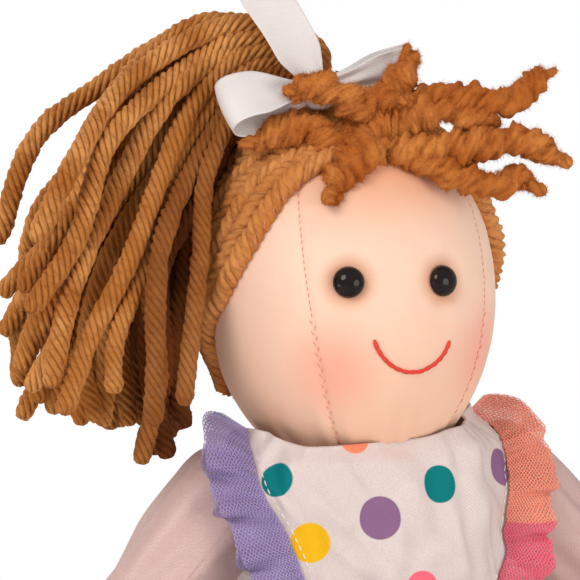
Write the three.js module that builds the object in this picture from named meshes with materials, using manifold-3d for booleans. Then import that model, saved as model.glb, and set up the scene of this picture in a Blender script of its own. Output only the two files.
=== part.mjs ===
// A stuffed rag doll in millimetres, +Z up. It stands on its soles and faces -Y,
// so its own right side is at -X. The head is four sewn cloth panels over a stuffed core,
// the hair is yarn, and the dress is satin with tulle.
import * as THREE from "three";
import { mergeVertices } from "three/addons/utils/BufferGeometryUtils.js";
import Module from "manifold-3d";

// Driving dimensions
const HEAD_Z = 292; // centre of the head above the soles
const HEAD_R = 47.3; // half width of the head
const HEAD_H = 60.7; // half height of the head
const HEAD_FOOT = HEAD_Z - 0.835 * HEAD_H; // height of the open underside of the head
const SKIN = 1.2; // cloth of the head
const GAP = 0.3; // air between two pieces that lie on each other
const SEAM_AZ = 41.6; // the face panel reaches this many degrees to each side
const SIDE_AZ = 100; // the side panels end here
const HAIR = 4.9; // thickness of the hair cap above the skin
const EYE_R = 4.95;
const EYE_DOME = 4.1;
const YARN_R = 2.9; // one strand, with the loose yarn round it
const RIBBON_W = 13;
const RIBBON_T = 0.8;
const LEG_X = 20;
const LEG_R = 15;
const HIP_Z = 124; // height of the line where the legs are sewn on
const WAIST_Z = 172;
const CHEST = HEAD_FOOT - WAIST_Z; // height between the waist and the head
const CHEST_R = 45; // half width of the stuffed chest
const WAIST_R = [37.2, 28.2]; // half width and half depth of the skirt at the waist
const NECK_R = 12.5;
const ARM_LENGTH = 86;
const ARM_SPREAD = 45; // degrees between an arm and the vertical
const ARM_LIFT = [-5, 35]; // degrees that an arm sinks and rises from there
const ARM_SEAM = 1.1; // the sleeve starts this far outside the shoulder seam
const SHOULDER = [CHEST_R + 3.5, 0, WAIST_Z + 0.78 * CHEST];
const HEM_Z = 96;
const FLARE = 27; // the hem stands out this far beyond the waist
const RUFFLE_W = 18.5;
const SHOE = [27, 52, 22];
const SOLE_T = 3;

const wasm = await Module();
wasm.setup();

const DEG = Math.PI / 180;
const V = (x, y, z) => new THREE.Vector3(x, y, z);
const mix = (a, b, t) => a + (b - a) * t;

// Unit direction in the ground plane: 0 degrees faces -Y, positive turns towards +X.
const compass = (az) => V(Math.sin(az * DEG), -Math.cos(az * DEG), 0);

// Smooth reading of a table of rows [key, value, value...] at a key.
function lookup(table, key, column) {
  const last = table.length - 1;
  if (key <= table[0][0]) return table[0][column];
  if (key >= table[last][0]) return table[last][column];
  let i = 0;
  while (table[i + 1][0] < key) i += 1;
  const slope = (k) => {
    const a = table[Math.max(k - 1, 0)];
    const b = table[Math.min(k + 1, last)];
    return (b[column] - a[column]) / (b[0] - a[0]);
  };
  const span = table[i + 1][0] - table[i][0];
  const t = (key - table[i][0]) / span;
  const h = t * t * (3 - 2 * t);
  const start = slope(i) * span * t * (1 - t) * (1 - t);
  const end = slope(i + 1) * span * t * t * (1 - t);
  return mix(table[i][column], table[i + 1][column], h) + start - end;
}

// Geometry from points and triangles: merges equal corners, drops empty faces and turns all faces outwards.
function closed(points, faces) {
  const keys = new Map();
  const flat = [];
  const map = points.map((p) => {
    const key = [p.x, p.y, p.z].map((c) => Math.round(c * 2000)).join();
    if (!keys.has(key)) {
      keys.set(key, flat.length / 3);
      flat.push(p.x, p.y, p.z);
    }
    return keys.get(key);
  });
  const index = [];
  let volume = 0;
  const at = (i) => V(flat[3 * i], flat[3 * i + 1], flat[3 * i + 2]);
  for (const face of faces) {
    const [a, b, c] = face.map((i) => map[i]);
    if (a === b || b === c || a === c) continue;
    index.push(a, b, c);
    volume += at(a).dot(at(b).cross(at(c)));
  }
  if (volume < 0) index.reverse();
  const geometry = new THREE.BufferGeometry();
  geometry.setAttribute("position", new THREE.Float32BufferAttribute(flat, 3));
  geometry.setIndex(index);
  return geometry;
}

// Stack of rings with equal point counts, closed by a fan at both ends.
function loft(rings) {
  const n = rings[0].length;
  const points = rings.flat();
  const faces = [];
  for (let r = 0; r + 1 < rings.length; r += 1) {
    for (let i = 0; i < n; i += 1) {
      const a = r * n + i;
      const b = r * n + ((i + 1) % n);
      faces.push([a, b, a + n], [b, b + n, a + n]);
    }
  }
  const cap = (first, flip) => {
    const centre = V(0, 0, 0);
    for (let i = 0; i < n; i += 1) centre.add(points[first + i]);
    points.push(centre.divideScalar(n));
    const mid = points.length - 1;
    for (let i = 0; i < n; i += 1) {
      const a = first + i;
      const b = first + ((i + 1) % n);
      faces.push(flip ? [b, a, mid] : [a, b, mid]);
    }
  };
  cap(0, true);
  cap((rings.length - 1) * n, false);
  return closed(points, faces);
}

// Cloth between an outer and an inner surface, both functions of (u, v) in 0..1; round closes it in u.
function cloth(outer, inner, nu, nv, round) {
  const points = [];
  const columns = round ? nu : nu + 1;
  for (const side of [outer, inner]) {
    for (let j = 0; j <= nv; j += 1) {
      for (let i = 0; i < columns; i += 1) points.push(side(i / nu, j / nv));
    }
  }
  const half = columns * (nv + 1);
  const id = (layer, i, j) => layer * half + j * columns + (i % columns);
  const faces = [];
  const quad = (a, b, c, d) => faces.push([a, b, c], [a, c, d]);
  for (let i = 0; i < nu; i += 1) {
    for (let j = 0; j < nv; j += 1) {
      quad(id(0, i, j), id(0, i + 1, j), id(0, i + 1, j + 1), id(0, i, j + 1));
      quad(id(1, i, j), id(1, i, j + 1), id(1, i + 1, j + 1), id(1, i + 1, j));
    }
    quad(id(0, i + 1, 0), id(0, i, 0), id(1, i, 0), id(1, i + 1, 0));
    quad(id(0, i, nv), id(0, i + 1, nv), id(1, i + 1, nv), id(1, i, nv));
  }
  if (!round) {
    for (let j = 0; j < nv; j += 1) {
      quad(id(0, 0, j), id(0, 0, j + 1), id(1, 0, j + 1), id(1, 0, j));
      quad(id(0, nu, j + 1), id(0, nu, j), id(1, nu, j), id(1, nu, j + 1));
    }
  }
  return closed(points, faces);
}

// Round rod along a smooth path, thinner at the end.
function strand(path, radius, segments, sides, tipScale = 0.75) {
  const curve = new THREE.CatmullRomCurve3(path, false, "centripetal");
  const frames = curve.computeFrenetFrames(segments, false);
  const rings = [];
  for (let k = 0; k <= segments; k += 1) {
    const centre = curve.getPointAt(k / segments);
    const r = radius * (k === segments ? tipScale : 1);
    const ring = [];
    for (let i = 0; i < sides; i += 1) {
      const a = (i / sides) * 2 * Math.PI;
      const p = centre.clone();
      p.addScaledVector(frames.normals[k], Math.cos(a) * r);
      p.addScaledVector(frames.binormals[k], Math.sin(a) * r);
      ring.push(p);
    }
    rings.push(ring);
  }
  return loft(rings);
}

function solid(geometry) {
  const bare = geometry.clone();
  bare.deleteAttribute("normal");
  bare.deleteAttribute("uv");
  const merged = mergeVertices(bare, 1e-4);
  const mesh = new wasm.Mesh({
    numProp: 3,
    vertProperties: new Float32Array(merged.attributes.position.array),
    triVerts: new Uint32Array(merged.index.array),
  });
  return new wasm.Manifold(mesh);
}

function geometryOf(body) {
  const mesh = body.getMesh();
  const geometry = new THREE.BufferGeometry();
  const vertices = new THREE.Float32BufferAttribute(mesh.vertProperties, 3);
  geometry.setAttribute("position", vertices);
  geometry.setIndex(Array.from(mesh.triVerts));
  return geometry;
}

const fuse = (parts) => parts.map(solid).reduce((sum, next) => sum.add(next));
const cut = (geometry, ...tools) =>
  geometryOf(tools.reduce((rest, tool) => rest.subtract(solid(tool)), solid(geometry)));
const keep = (geometry, ...tools) =>
  geometryOf(tools.reduce((rest, tool) => rest.intersect(solid(tool)), solid(geometry)));

const block = (w, d, h, x, y, z) => new THREE.BoxGeometry(w, d, h).translate(x, y, z);

// Cylinder from a start point along a direction.
function pin(start, direction, length, radius, sides = 14) {
  const geometry = new THREE.CylinderGeometry(radius, radius, length, sides);
  geometry.translate(0, length / 2, 0);
  const turn = new THREE.Quaternion().setFromUnitVectors(V(0, 1, 0), direction);
  return geometry.applyQuaternion(turn).translate(start.x, start.y, start.z);
}

// Head: an egg of revolution about the vertical axis.
function egg(grow, across = 26, down = 13) {
  const geometry = new THREE.SphereGeometry(1, across, down).rotateX(Math.PI / 2);
  geometry.scale(HEAD_R + grow, HEAD_R + grow, HEAD_H + grow);
  return geometry.translate(0, 0, HEAD_Z);
}

// Point of the head's surface at a compass direction and a height above the head's centre.
function headPoint(az, height, grow = 0) {
  const up = height / (HEAD_H + grow);
  const radius = (HEAD_R + grow) * Math.sqrt(Math.max(0, 1 - up * up));
  return compass(az).multiplyScalar(radius).setZ(HEAD_Z + height);
}

function headNormal(az, height) {
  const p = headPoint(az, height);
  const scaled = V(p.x / HEAD_R ** 2, p.y / HEAD_R ** 2, height / HEAD_H ** 2);
  return scaled.normalize();
}

const EYES = { right_eye: [-25.8, 2.4], left_eye: [12.8, 0.8] };
const BEYOND = 200; // a size larger than anything that is cut with it
const aboveFoot = (z) => block(BEYOND, BEYOND, BEYOND, 0, 0, z + BEYOND / 2);

// Upright wedge between two compass directions, half a gap inside each.
function wedge(from, to) {
  const middle = (from + to) / 2;
  const lead = GAP / 2 / Math.sin(((to - from) / 2) * DEG);
  const apex = compass(middle).multiplyScalar(lead);
  const shape = new THREE.Shape();
  shape.moveTo(apex.x, apex.y);
  const steps = 4;
  for (let k = 0; k <= steps; k += 1) {
    const p = compass(mix(from, to, k / steps)).multiplyScalar(120).add(apex);
    shape.lineTo(p.x, p.y);
  }
  const options = { depth: 160, bevelEnabled: false };
  return new THREE.ExtrudeGeometry(shape, options).translate(0, 0, 220);
}

function headPanel(from, to) {
  const holes = Object.values(EYES).map(([az, height]) => {
    const normal = headNormal(az, height);
    return pin(headPoint(az, height).addScaledVector(normal, -8), normal, 16, 1.8, 10);
  });
  const skin = cut(keep(egg(0), aboveFoot(HEAD_FOOT)), egg(-SKIN));
  const panel = keep(skin, wedge(from, to));
  return from < 0 && to > 0 && to < 90 ? cut(panel, ...holes) : panel;
}

function headStuffing() {
  const core = keep(egg(-SKIN - GAP), aboveFoot(HEAD_FOOT + 0.2));
  const pockets = [pin(V(0, 0, HEAD_FOOT - 5), V(0, 0, 1), 17.5, 16.5, 16)];
  for (const [az, height] of Object.values(EYES)) {
    const normal = headNormal(az, height);
    const surface = headPoint(az, height);
    pockets.push(pin(surface.clone().addScaledVector(normal, -3.8), normal, 10, 6.1));
    pockets.push(pin(surface.clone().addScaledVector(normal, -9.4), normal, 12, 1.8, 8));
  }
  return cut(core, ...pockets);
}

function turned(profile, sides, az, height) {
  const points = profile.map(([r, h]) => new THREE.Vector2(r, h));
  const geometry = new THREE.LatheGeometry(points, sides);
  const turn = new THREE.Quaternion().setFromUnitVectors(V(0, 1, 0), headNormal(az, height));
  const p = headPoint(az, height);
  return geometry.applyQuaternion(turn).translate(p.x, p.y, p.z);
}

function eye([az, height]) {
  const profile = [[0, -9], [1.5, -9], [1.5, 0.35], [EYE_R - 0.3, 0.35]];
  for (let k = 0; k <= 4; k += 1) {
    const a = (k / 4) * 90 * DEG;
    profile.push([EYE_R * Math.cos(a), 0.9 + (EYE_DOME - 0.9) * Math.sin(a)]);
  }
  profile[profile.length - 1][0] = 0;
  return turned(profile, 14, az, height);
}

function washer([az, height]) {
  const profile = [[1.8, -3.4], [5.6, -3.4], [5.6, -2.4], [1.8, -2.4], [1.8, -3.4]];
  return turned(profile, 12, az, height);
}

// Hair cap: thick yarn from a hairline that drops from the forehead to the nape.
const HAIRLINE = [
  [0, 44],
  [25, 42],
  [45, 35],
  [63, 16],
  [78, 2],
  [95, -9],
  [112, -28],
  [140, -35],
  [180, -38],
];

function hairCap() {
  const layer = (offset) => (u, v) => {
    const az = u * 360 - 180;
    const edge = Math.acos(lookup(HAIRLINE, Math.abs(az), 1) / HEAD_H);
    const polar = edge * (1 - v);
    const grow = offset === HAIR ? mix(HAIR - 1.2, HAIR, Math.min(1, v * 4)) : offset;
    const radius = (HEAD_R + grow) * Math.sin(polar);
    return compass(az).multiplyScalar(radius).setZ(HEAD_Z + (HEAD_H + grow) * Math.cos(polar));
  };
  return cloth(layer(HAIR), layer(GAP + 0.75), 32, 8, true);
}

// Ponytail: the strands rise from the crown, arch over the doll's right side and fan out downwards.
const SIDEWAYS = -102; // compass direction of the ponytail
const KNOT = compass(SIDEWAYS).multiplyScalar(8); // where the ponytail leaves the head
// Three key strands, from the one nearest the head to the outermost:
// distance from the head's axis, and height above its centre.
const INNER = [[8, 66], [15, 73], [31, 69], [49, 48], [61, 16], [64, -10], [63, -34]];
const CENTRE = [[8, 66], [14, 78], [34, 80], [60, 61], [82, 28], [95, -6], [105, -30]];
const OUTER = [[8, 66], [5, 79], [26, 88], [47, 88], [76, 77], [100, 49], [111, 22]];
const SPREAD = [0, 0.12, 0.35, 0.65, 0.9, 1, 1];
// Each lock: its place across the bundle and the compass directions of its inner and outer strand.
const LOCKS = {
  ponytail_front_lock: { side: 5.4, az: [-84, -96] },
  ponytail_middle_lock: { side: 0, az: [-113, -104] },
  ponytail_back_lock: { side: -5.4, az: [-146, -114] },
};
const STRANDS = 5;

function hangingStrand(lock, s) {
  const [near, far] = s < 0.5 ? [INNER, CENTRE] : [CENTRE, OUTER];
  const t = s < 0.5 ? s * 2 : s * 2 - 1;
  const az = mix(lock.az[0], lock.az[1], s);
  return SPREAD.map((f, k) => {
    const reach = mix(near[k][0], far[k][0], t);
    const p = compass(mix(SIDEWAYS, az, f)).multiplyScalar(reach);
    p.addScaledVector(compass(SIDEWAYS + 90), lock.side * (1 - f));
    return p.setZ(HEAD_Z + mix(near[k][1], far[k][1], t));
  });
}

function lockOf(lock, grow = 0) {
  const parts = [];
  for (let k = 0; k < STRANDS; k += 1) {
    const path = hangingStrand(lock, k / (STRANDS - 1));
    parts.push(strand(path, YARN_R + grow, 9, 5));
  }
  return fuse(parts);
}

const capCover = () => egg(HAIR + GAP, 32, 16);
const tieRing = (grow) =>
  new THREE.TorusGeometry(9.6, 1.7 + grow, 6, 16).translate(KNOT.x, KNOT.y, HEAD_Z + HEAD_H + 8.5);

function ponytailLock(name) {
  const names = Object.keys(LOCKS);
  let body = lockOf(LOCKS[name]).subtract(solid(capCover()));
  body = body.subtract(solid(tieRing(GAP)));
  const side = LOCKS[name].side;
  // Near the crown the three locks keep to their own third of the bundle.
  const along = compass(SIDEWAYS);
  for (const edge of [-2.7, 2.7]) {
    if ((edge - side) * edge > 0 && side !== 0) continue;
    const away = side === 0 ? Math.sign(edge) : -Math.sign(side);
    const slab = block(26, 40, 60, 0, 0, 0);
    slab.rotateZ(Math.atan2(along.y, along.x));
    const at = KNOT.clone().addScaledVector(compass(SIDEWAYS + 90), edge + away * (20 - GAP / 2));
    slab.translate(at.x, at.y, HEAD_Z + 55);
    body = body.subtract(solid(slab));
  }
  for (const other of names.slice(0, names.indexOf(name))) {
    body = body.subtract(lockOf(LOCKS[other], GAP));
  }
  return geometryOf(body);
}

// Fringe: short thick strands sewn on at one tuft above the forehead; tips are measured from the tuft.
const TUFT = [1, 51];
const FRINGE_TIPS = [
  [5, -17, 24],
  [45, -16, 13],
  [50, -22, -8],
  [38, -24, -17],
  [-34, -10, 13],
  [-41, -6, 0],
  [-20, -21, -22],
  [22, -20, 17],
  [20, -22, -5],
];

function fringe() {
  const root = headPoint(TUFT[0], TUFT[1], HAIR);
  const normal = headNormal(TUFT[0], TUFT[1]);
  const parts = [new THREE.SphereGeometry(7, 10, 6).translate(root.x, root.y, root.z)];
  for (const tip of FRINGE_TIPS) {
    const end = root.clone().add(V(...tip));
    const lift = root.distanceTo(end) * 0.2;
    const middle = root.clone().lerp(end, 0.5).addScaledVector(normal, lift);
    const near = root.clone().lerp(end, 0.15).addScaledVector(normal, lift * 0.7);
    parts.push(strand([root, near, middle, end], 2.7, 5, 5, 0.6));
  }
  const bowRoom = [bowKnot(GAP), bowBand(...RIGHT_LOOP, GAP), bowBand(...LEFT_LOOP, GAP)];
  const body = [capCover(), ...bowRoom].reduce((rest, tool) => rest.subtract(solid(tool)), fuse(parts));
  return geometryOf(body);
}

// Ribbon bow in front of the ponytail.
const BOW_SPOT = [-36.6, 57]; // where on the hair the bow lies
const BOW = headPoint(...BOW_SPOT, HAIR).addScaledVector(headNormal(...BOW_SPOT), 7);
const BOW_RIGHT = V(Math.cos(6 * DEG), -Math.sin(6 * DEG), 0); // along the bow, towards the doll's left
const BOW_FRONT = V(-Math.sin(6 * DEG), -Math.cos(6 * DEG), 0);
const bowFrame = () => {
  const m = new THREE.Matrix4().makeBasis(BOW_RIGHT, V(0, 0, 1), BOW_FRONT.clone());
  return m.setPosition(BOW);
};

function bowKnot(grow = 0) {
  const geometry = new THREE.SphereGeometry(1, 12, 8);
  geometry.scale(7 + grow, 6.5 + grow, 5 + grow);
  return geometry.applyMatrix4(bowFrame());
}

// One loop: a folded band that goes out from the knot and comes back; drop and roll are degrees.
const RIGHT_LOOP = [-1, 32, 10, 20];
const LEFT_LOOP = [1, 29, 27, -10];

function bowBand(sign, length, drop, roll, grow = 0, hollow = false) {
  const outline = (inset) => {
    const points = [];
    for (let k = 0; k < 12; k += 1) {
      const a = (k / 12) * 2 * Math.PI;
      const x = length / 2 + 1 + (length / 2 - inset) * Math.cos(a);
      points.push(new THREE.Vector2(x * sign, (5.5 - inset) * Math.sin(a) * sign));
    }
    return points;
  };
  const shape = new THREE.Shape(outline(-grow));
  if (hollow) shape.holes.push(new THREE.Path(outline(RIBBON_T)));
  const width = RIBBON_W + 2 * grow;
  const band = new THREE.ExtrudeGeometry(shape, { depth: width, bevelEnabled: false });
  band.rotateX(-Math.PI / 2).translate(0, -width / 2, 0).rotateX(roll * DEG);
  return band.applyMatrix4(new THREE.Matrix4().makeRotationZ(drop * DEG)).applyMatrix4(bowFrame());
}

const bowLoop = (loop) => cut(bowBand(...loop, 0, true), bowKnot(GAP), capCover());

// A flat tail with a slanted end, gently bent along its length; points are in the bow's own frame.
function ribbonTail(path, width, slant) {
  const curve = new THREE.CatmullRomCurve3(path.map((p) => V(...p)));
  const layer = (offset) => (u, v) => {
    const p = curve.getPointAt(v);
    const t = curve.getTangentAt(v);
    const side = V(t.y, -t.x, 0).normalize();
    const normal = side.clone().cross(t).normalize();
    const across = (u - 0.5) * width;
    p.addScaledVector(side, across).addScaledVector(t, v > 0.99 ? across * slant : 0);
    return p.addScaledVector(normal, offset).applyMatrix4(bowFrame());
  };
  const tail = cloth(layer(RIBBON_T / 2), layer(-RIBBON_T / 2), 2, 8, false);
  return cut(tail, bowKnot(GAP), bowBand(...RIGHT_LOOP, GAP), bowBand(...LEFT_LOOP, GAP), capCover());
}

const TAIL_UP = [[-1, 1, -4.9], [-4, 13, -6.6], [-11, 28, -6.5], [-18, 40, -3]];
const TAIL_SIDE = [[7, -1, -6.6], [14, 0, -9], [21, 1, -13], [28, 2, -17]];

// Superellipse ring at a height.
function ring(z, ax, ay, sides, power = 2.3, x = 0, y = 0) {
  const points = [];
  for (let i = 0; i < sides; i += 1) {
    points.push(around((i / sides) * 360, z, ax, ay, power).add(V(x, y, 0)));
  }
  return points;
}

function around(az, z, ax, ay, power = 2.3) {
  const s = Math.sin(az * DEG);
  const c = Math.cos(az * DEG);
  const x = ax * Math.sign(s) * Math.abs(s) ** (2 / power);
  const y = -ay * Math.sign(c) * Math.abs(c) ** (2 / power);
  return V(x, y, z);
}

// Torso: rows of height, half width and half depth.
const TORSO_FOOT = HIP_Z + 1.85;
const TORSO_TOP = HEAD_FOOT - 4.3;
const TORSO = [
  [TORSO_FOOT, 18, 5],
  [HIP_Z + 7, 32, 11.5],
  [HIP_Z + 12, 37, 16.5],
  [HIP_Z + 18, 39, 21.5],
  [HIP_Z + 28, 39.5, 27],
  [WAIST_Z - 10, 38.5, 28.5],
  [WAIST_Z, 36, 27],
  [WAIST_Z + 0.26 * CHEST, 39.5, 29.5],
  [WAIST_Z + 0.52 * CHEST, CHEST_R - 1, 32],
  [WAIST_Z + 0.72 * CHEST, CHEST_R, 31],
  [WAIST_Z + 0.87 * CHEST, CHEST_R - 3, 27],
  [TORSO_TOP, 33, 21],
];
// Inside of the bodice, from the waist to the top of the shoulders.
const BODICE = [
  [WAIST_Z + 1, 36.8, 27.8],
  [WAIST_Z + 0.26 * CHEST, 41, 31],
  [WAIST_Z + 0.52 * CHEST, CHEST_R + 0.8, 34],
  [WAIST_Z + 0.72 * CHEST, CHEST_R + 2.4, 33.4],
  [WAIST_Z + 0.87 * CHEST, CHEST_R + 1.9, 31.6],
  [WAIST_Z + 0.98 * CHEST, CHEST_R - 0.4, 30.2],
  [WAIST_Z + 1.11 * CHEST, CHEST_R - 4.4, 28.6],
];

function torso() {
  const rings = [];
  for (let k = 0; k <= 10; k += 1) {
    const z = mix(TORSO_FOOT, TORSO_TOP, k / 10);
    rings.push(ring(z, lookup(TORSO, z, 1), lookup(TORSO, z, 2), 22));
  }
  const pocket = pin(V(0, 0, TORSO_TOP - 11), V(0, 0, 1), 20, NECK_R + 0.4, 16);
  return cut(loft(rings), pocket);
}

// Neck: a stuffed post with a round top on which the head nods.
function neck() {
  const foot = TORSO_TOP - 10.6;
  const top = HEAD_FOOT - 0.3;
  const post = pin(V(0, 0, foot), V(0, 0, 1), top - foot, NECK_R, 16);
  const dome = new THREE.SphereGeometry(NECK_R, 16, 8).rotateX(Math.PI / 2);
  return geometryOf(fuse([post, dome.translate(0, 0, top)]));
}

function bodiceWall(az, z, grow) {
  return around(az, z, lookup(BODICE, z, 1) + grow, lookup(BODICE, z, 2) + grow);
}

// The neckline is low at the front and back and rises beside the head to the tops of the shoulders.
function neckline(az) {
  const side = Math.abs(Math.sin(az * DEG)) ** 4;
  const behind = Math.max(0, -Math.cos(az * DEG));
  return HEAD_FOOT - 2 + (9 - 14 * behind) * side * side * (3 - 2 * side);
}

// Bodice piece between two compass directions; an opening on each side lets the shoulder flap through.
function bodice(from, to, columns) {
  const layer = (grow) => (u, v) => {
    const az = mix(from, to, u);
    return bodiceWall(az, mix(WAIST_Z + 1, neckline(az), v), grow);
  };
  const piece = cloth(layer(1.5), layer(0.2), columns, 8, false);
  const holes = [-1, 1].map((side) =>
    pin(V(side * 30, 0, SHOULDER[2]), V(side, 0, 0), 40, 10.8, 14),
  );
  return cut(piece, ...holes);
}

// Hook and loop strips on the two halves of the back.
function closureTape(side) {
  const layer = (grow) => (u, v) => {
    const az = 180 + side * mix(2.5, 11, u);
    const z = mix(WAIST_Z + 14, SHOULDER[2], v);
    return bodiceWall(az, z, 1.5 + GAP + grow);
  };
  return cloth(layer(1), layer(0), 3, 5, false);
}

// The border of the bib: height against compass direction, from the waist to the shoulder.
const BIB_FOOT = WAIST_Z + 4;
const BIB_TOP = HEAD_FOOT + 6.5;
const BIB_COLOR_CHANGE = WAIST_Z + 42;
const BIB_EDGE = [
  [BIB_FOOT, 33],
  [WAIST_Z + 0.2 * CHEST, 38.5],
  [WAIST_Z + 0.39 * CHEST, 45],
  [WAIST_Z + 0.55 * CHEST, 47.5],
  [WAIST_Z + 0.69 * CHEST, 52],
  [WAIST_Z + 0.81 * CHEST, 58],
  [WAIST_Z + 0.97 * CHEST, 68],
  [BIB_TOP, 79],
];

// Ruffle: gathered tulle along the border of the bib, standing out sideways in waves.
function ruffle(side, low, high, waves, phase) {
  const layer = (offset) => (u, v) => {
    const z = mix(low, high, u);
    const base = bodiceWall(side * lookup(BIB_EDGE, z, 1), z, 1.5 + GAP + 0.6);
    const rise = mix(-0.3, 0.35, (z - BIB_FOOT) / (BIB_TOP - BIB_FOOT));
    const out = V(side, -0.2, rise).normalize();
    const wave = Math.sin((u * waves + phase) * 2 * Math.PI) * 2.4 * v;
    return base.addScaledVector(out, RUFFLE_W * v).add(V(0, -wave - offset, 0));
  };
  return cloth(layer(0.7), layer(-0.5), Math.round(waves * 5), 2, false);
}

function waistband() {
  const layer = (grow) => (u, v) => {
    const z = mix(WAIST_Z - 7.5, WAIST_Z + 0.4, v);
    return around(u * 360, z, WAIST_R[0] + 1.4 + grow, WAIST_R[1] + 1.4 + grow);
  };
  return cloth(layer(1.6), layer(0), 30, 1, true);
}

// Skirt: flares from under the waistband to the hem; folds deepen towards the hem.
function skirtLayer(from, to, top, hem, offset, folds, depth) {
  return (grow) => (u, v) => {
    const az = mix(from, to, u);
    const z = mix(top, hem, v);
    const flare = Math.sin((v * 90 + 4) * DEG) * FLARE;
    const wave = Math.cos(az * folds * DEG) * depth * v;
    const size = offset + grow + flare + wave;
    return around(az, z, WAIST_R[0] + size, WAIST_R[1] + size, mix(2.3, 2, v));
  };
}

function skirtHalf(side) {
  const layer = skirtLayer(side * 0.4, side * 179.6, WAIST_Z - 8.3, HEM_Z, 0, 9, 2);
  return cloth(layer(0), layer(-1.3), 20, 4, false);
}

function tullePanel(side, index) {
  const from = side * (0.4 + index * 60);
  const to = side * (59.8 + index * 60);
  const layer = skirtLayer(from, to, WAIST_Z - 8.3, HEM_Z - 6, 2.6, 9, 2);
  return cloth(layer(1.3), layer(0), 9, 4, false);
}

// Limb: rows of distance along the limb, half width and half depth.
const ARM = [
  [9, 7.5, 6],
  [13, 10.5, 9.5],
  [24, 12, 11.5],
  [46, 10.8, 10.5],
  [64, 9.3, 9],
  [74, 11, 9],
  [81, 9.5, 7.5],
  [ARM_LENGTH, 4, 3.5],
];

// Frame of a hanging arm: local -Z runs from the shoulder to the hand.
function armFrame(side) {
  const turn = new THREE.Matrix4().makeRotationY(side * -ARM_SPREAD * DEG);
  const place = new THREE.Matrix4().makeTranslation(side * SHOULDER[0], 0, SHOULDER[2]);
  return place.multiply(turn);
}

function limb(rows, count, sides, frame) {
  const rings = [];
  const first = rows[0][0];
  const last = rows[rows.length - 1][0];
  for (let k = 0; k <= count; k += 1) {
    const t = mix(first, last, k / count);
    const points = ring(-t, lookup(rows, t, 1), lookup(rows, t, 2), sides, 2);
    rings.push(points.map((p) => p.applyMatrix4(frame)));
  }
  return loft(rings);
}

function arm(side) {
  const frame = armFrame(side);
  const thumb = new THREE.SphereGeometry(1, 8, 6).scale(3.4, 3.4, 6);
  thumb.rotateX(25 * DEG).translate(0, -9.5, -74).applyMatrix4(frame);
  const stuffed = fuse([limb(ARM, 9, 12, frame), thumb]);
  return geometryOf(stuffed.subtract(bodySpace(side)));
}

// What stays free for the bodice at every angle to which the arm lifts.
function bodySpace(side) {
  const inside = ARM_LIFT.map((degrees) => {
    const half = block(80, 120, 120, side * (ARM_SEAM - 40), 0, 0);
    half.rotateY(side * degrees * DEG);
    return half.translate(side * SHOULDER[0], 0, SHOULDER[2]);
  });
  return fuse(inside);
}

// Flat unstuffed flap between the side seam of the torso and the arm; it passes through the bodice.
function shoulderFlap(side) {
  const flap = new THREE.CylinderGeometry(1, 1, 1, 14).scale(5.5, 5.8, 9);
  flap.rotateZ(Math.PI / 2).translate(side * (SHOULDER[0] - 0.2), 0, SHOULDER[2]);
  const frame = armFrame(side);
  const armRoom = limb(ARM.map(([t, a, b]) => [t - 0.3, a + 0.4, b + 0.4]), 5, 12, frame);
  return cut(flap, armRoom);
}

// Sleeve: rows of distance along the arm and radius; it puffs up on top, away from the body.
const SLEEVE = [
  [-7, 13.5],
  [0, 16.8],
  [8, 17.9],
  [18, 17.6],
  [34, 16.2],
  [48, 15],
  [57, 12.5],
  [62, 11.2],
  [66, 12.6],
];
const SLEEVE_PUFF = 1.5;

function sleeve(side) {
  const frame = armFrame(side);
  const start = SLEEVE[0][0];
  const end = SLEEVE[SLEEVE.length - 1][0];
  const layer = (grow) => (u, v) => {
    const t = mix(start, end, v);
    const fold = 0.5 * Math.cos(u * 9 * 2 * Math.PI) * Math.sin(v * Math.PI);
    const radius = lookup(SLEEVE, t, 1) + grow + fold;
    const puff = V(side * SLEEVE_PUFF * Math.sin(v * Math.PI) ** 0.5, 0, 0);
    return around(u * 360, -t, radius, radius, 2).add(puff).applyMatrix4(frame);
  };
  const tube = solid(cloth(layer(0), layer(-1.2), 18, 6, true));
  return geometryOf(tube.subtract(bodySpace(side)));
}

// Leg: rows of height below the hip, half width and half depth.
const LEG = [
  [12, 7, 5],
  [20, 13, 12],
  [32, LEG_R, 14.5],
  [60, 13.5, 13],
  [88, 12.2, 12],
  [106, 11, 11],
  [114, 10.5, 12],
  [119.5, 8, 9],
];

function legBody(side, grow) {
  const frame = new THREE.Matrix4().makeTranslation(side * LEG_X, 0, HIP_Z);
  const rows = LEG.map(([t, a, b]) => [t, a + grow, b + grow]);
  rows[0][0] -= grow;
  rows[rows.length - 1][0] += grow;
  const foot = new THREE.SphereGeometry(1, 12, 8);
  foot.scale(10.8 + grow, 21 + grow, 8 + grow);
  foot.translate(side * LEG_X, -8, SOLE_T + 9.2);
  return fuse([limb(rows, 7, 12, frame), foot]);
}

const leg = (side) => geometryOf(legBody(side, 0));

// Flat unstuffed top of the leg, between the stuffing and the seam under the torso.
function hipFlap(side) {
  const plate = block(24, 3, 11.6, side * LEG_X, 0, HIP_Z - 5.8);
  const seam = pin(V(side * LEG_X - 12, 0, HIP_Z), V(1, 0, 0), 24, 1.55, 12);
  return geometryOf(fuse([plate, seam]).subtract(legBody(side, GAP)));
}

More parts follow.
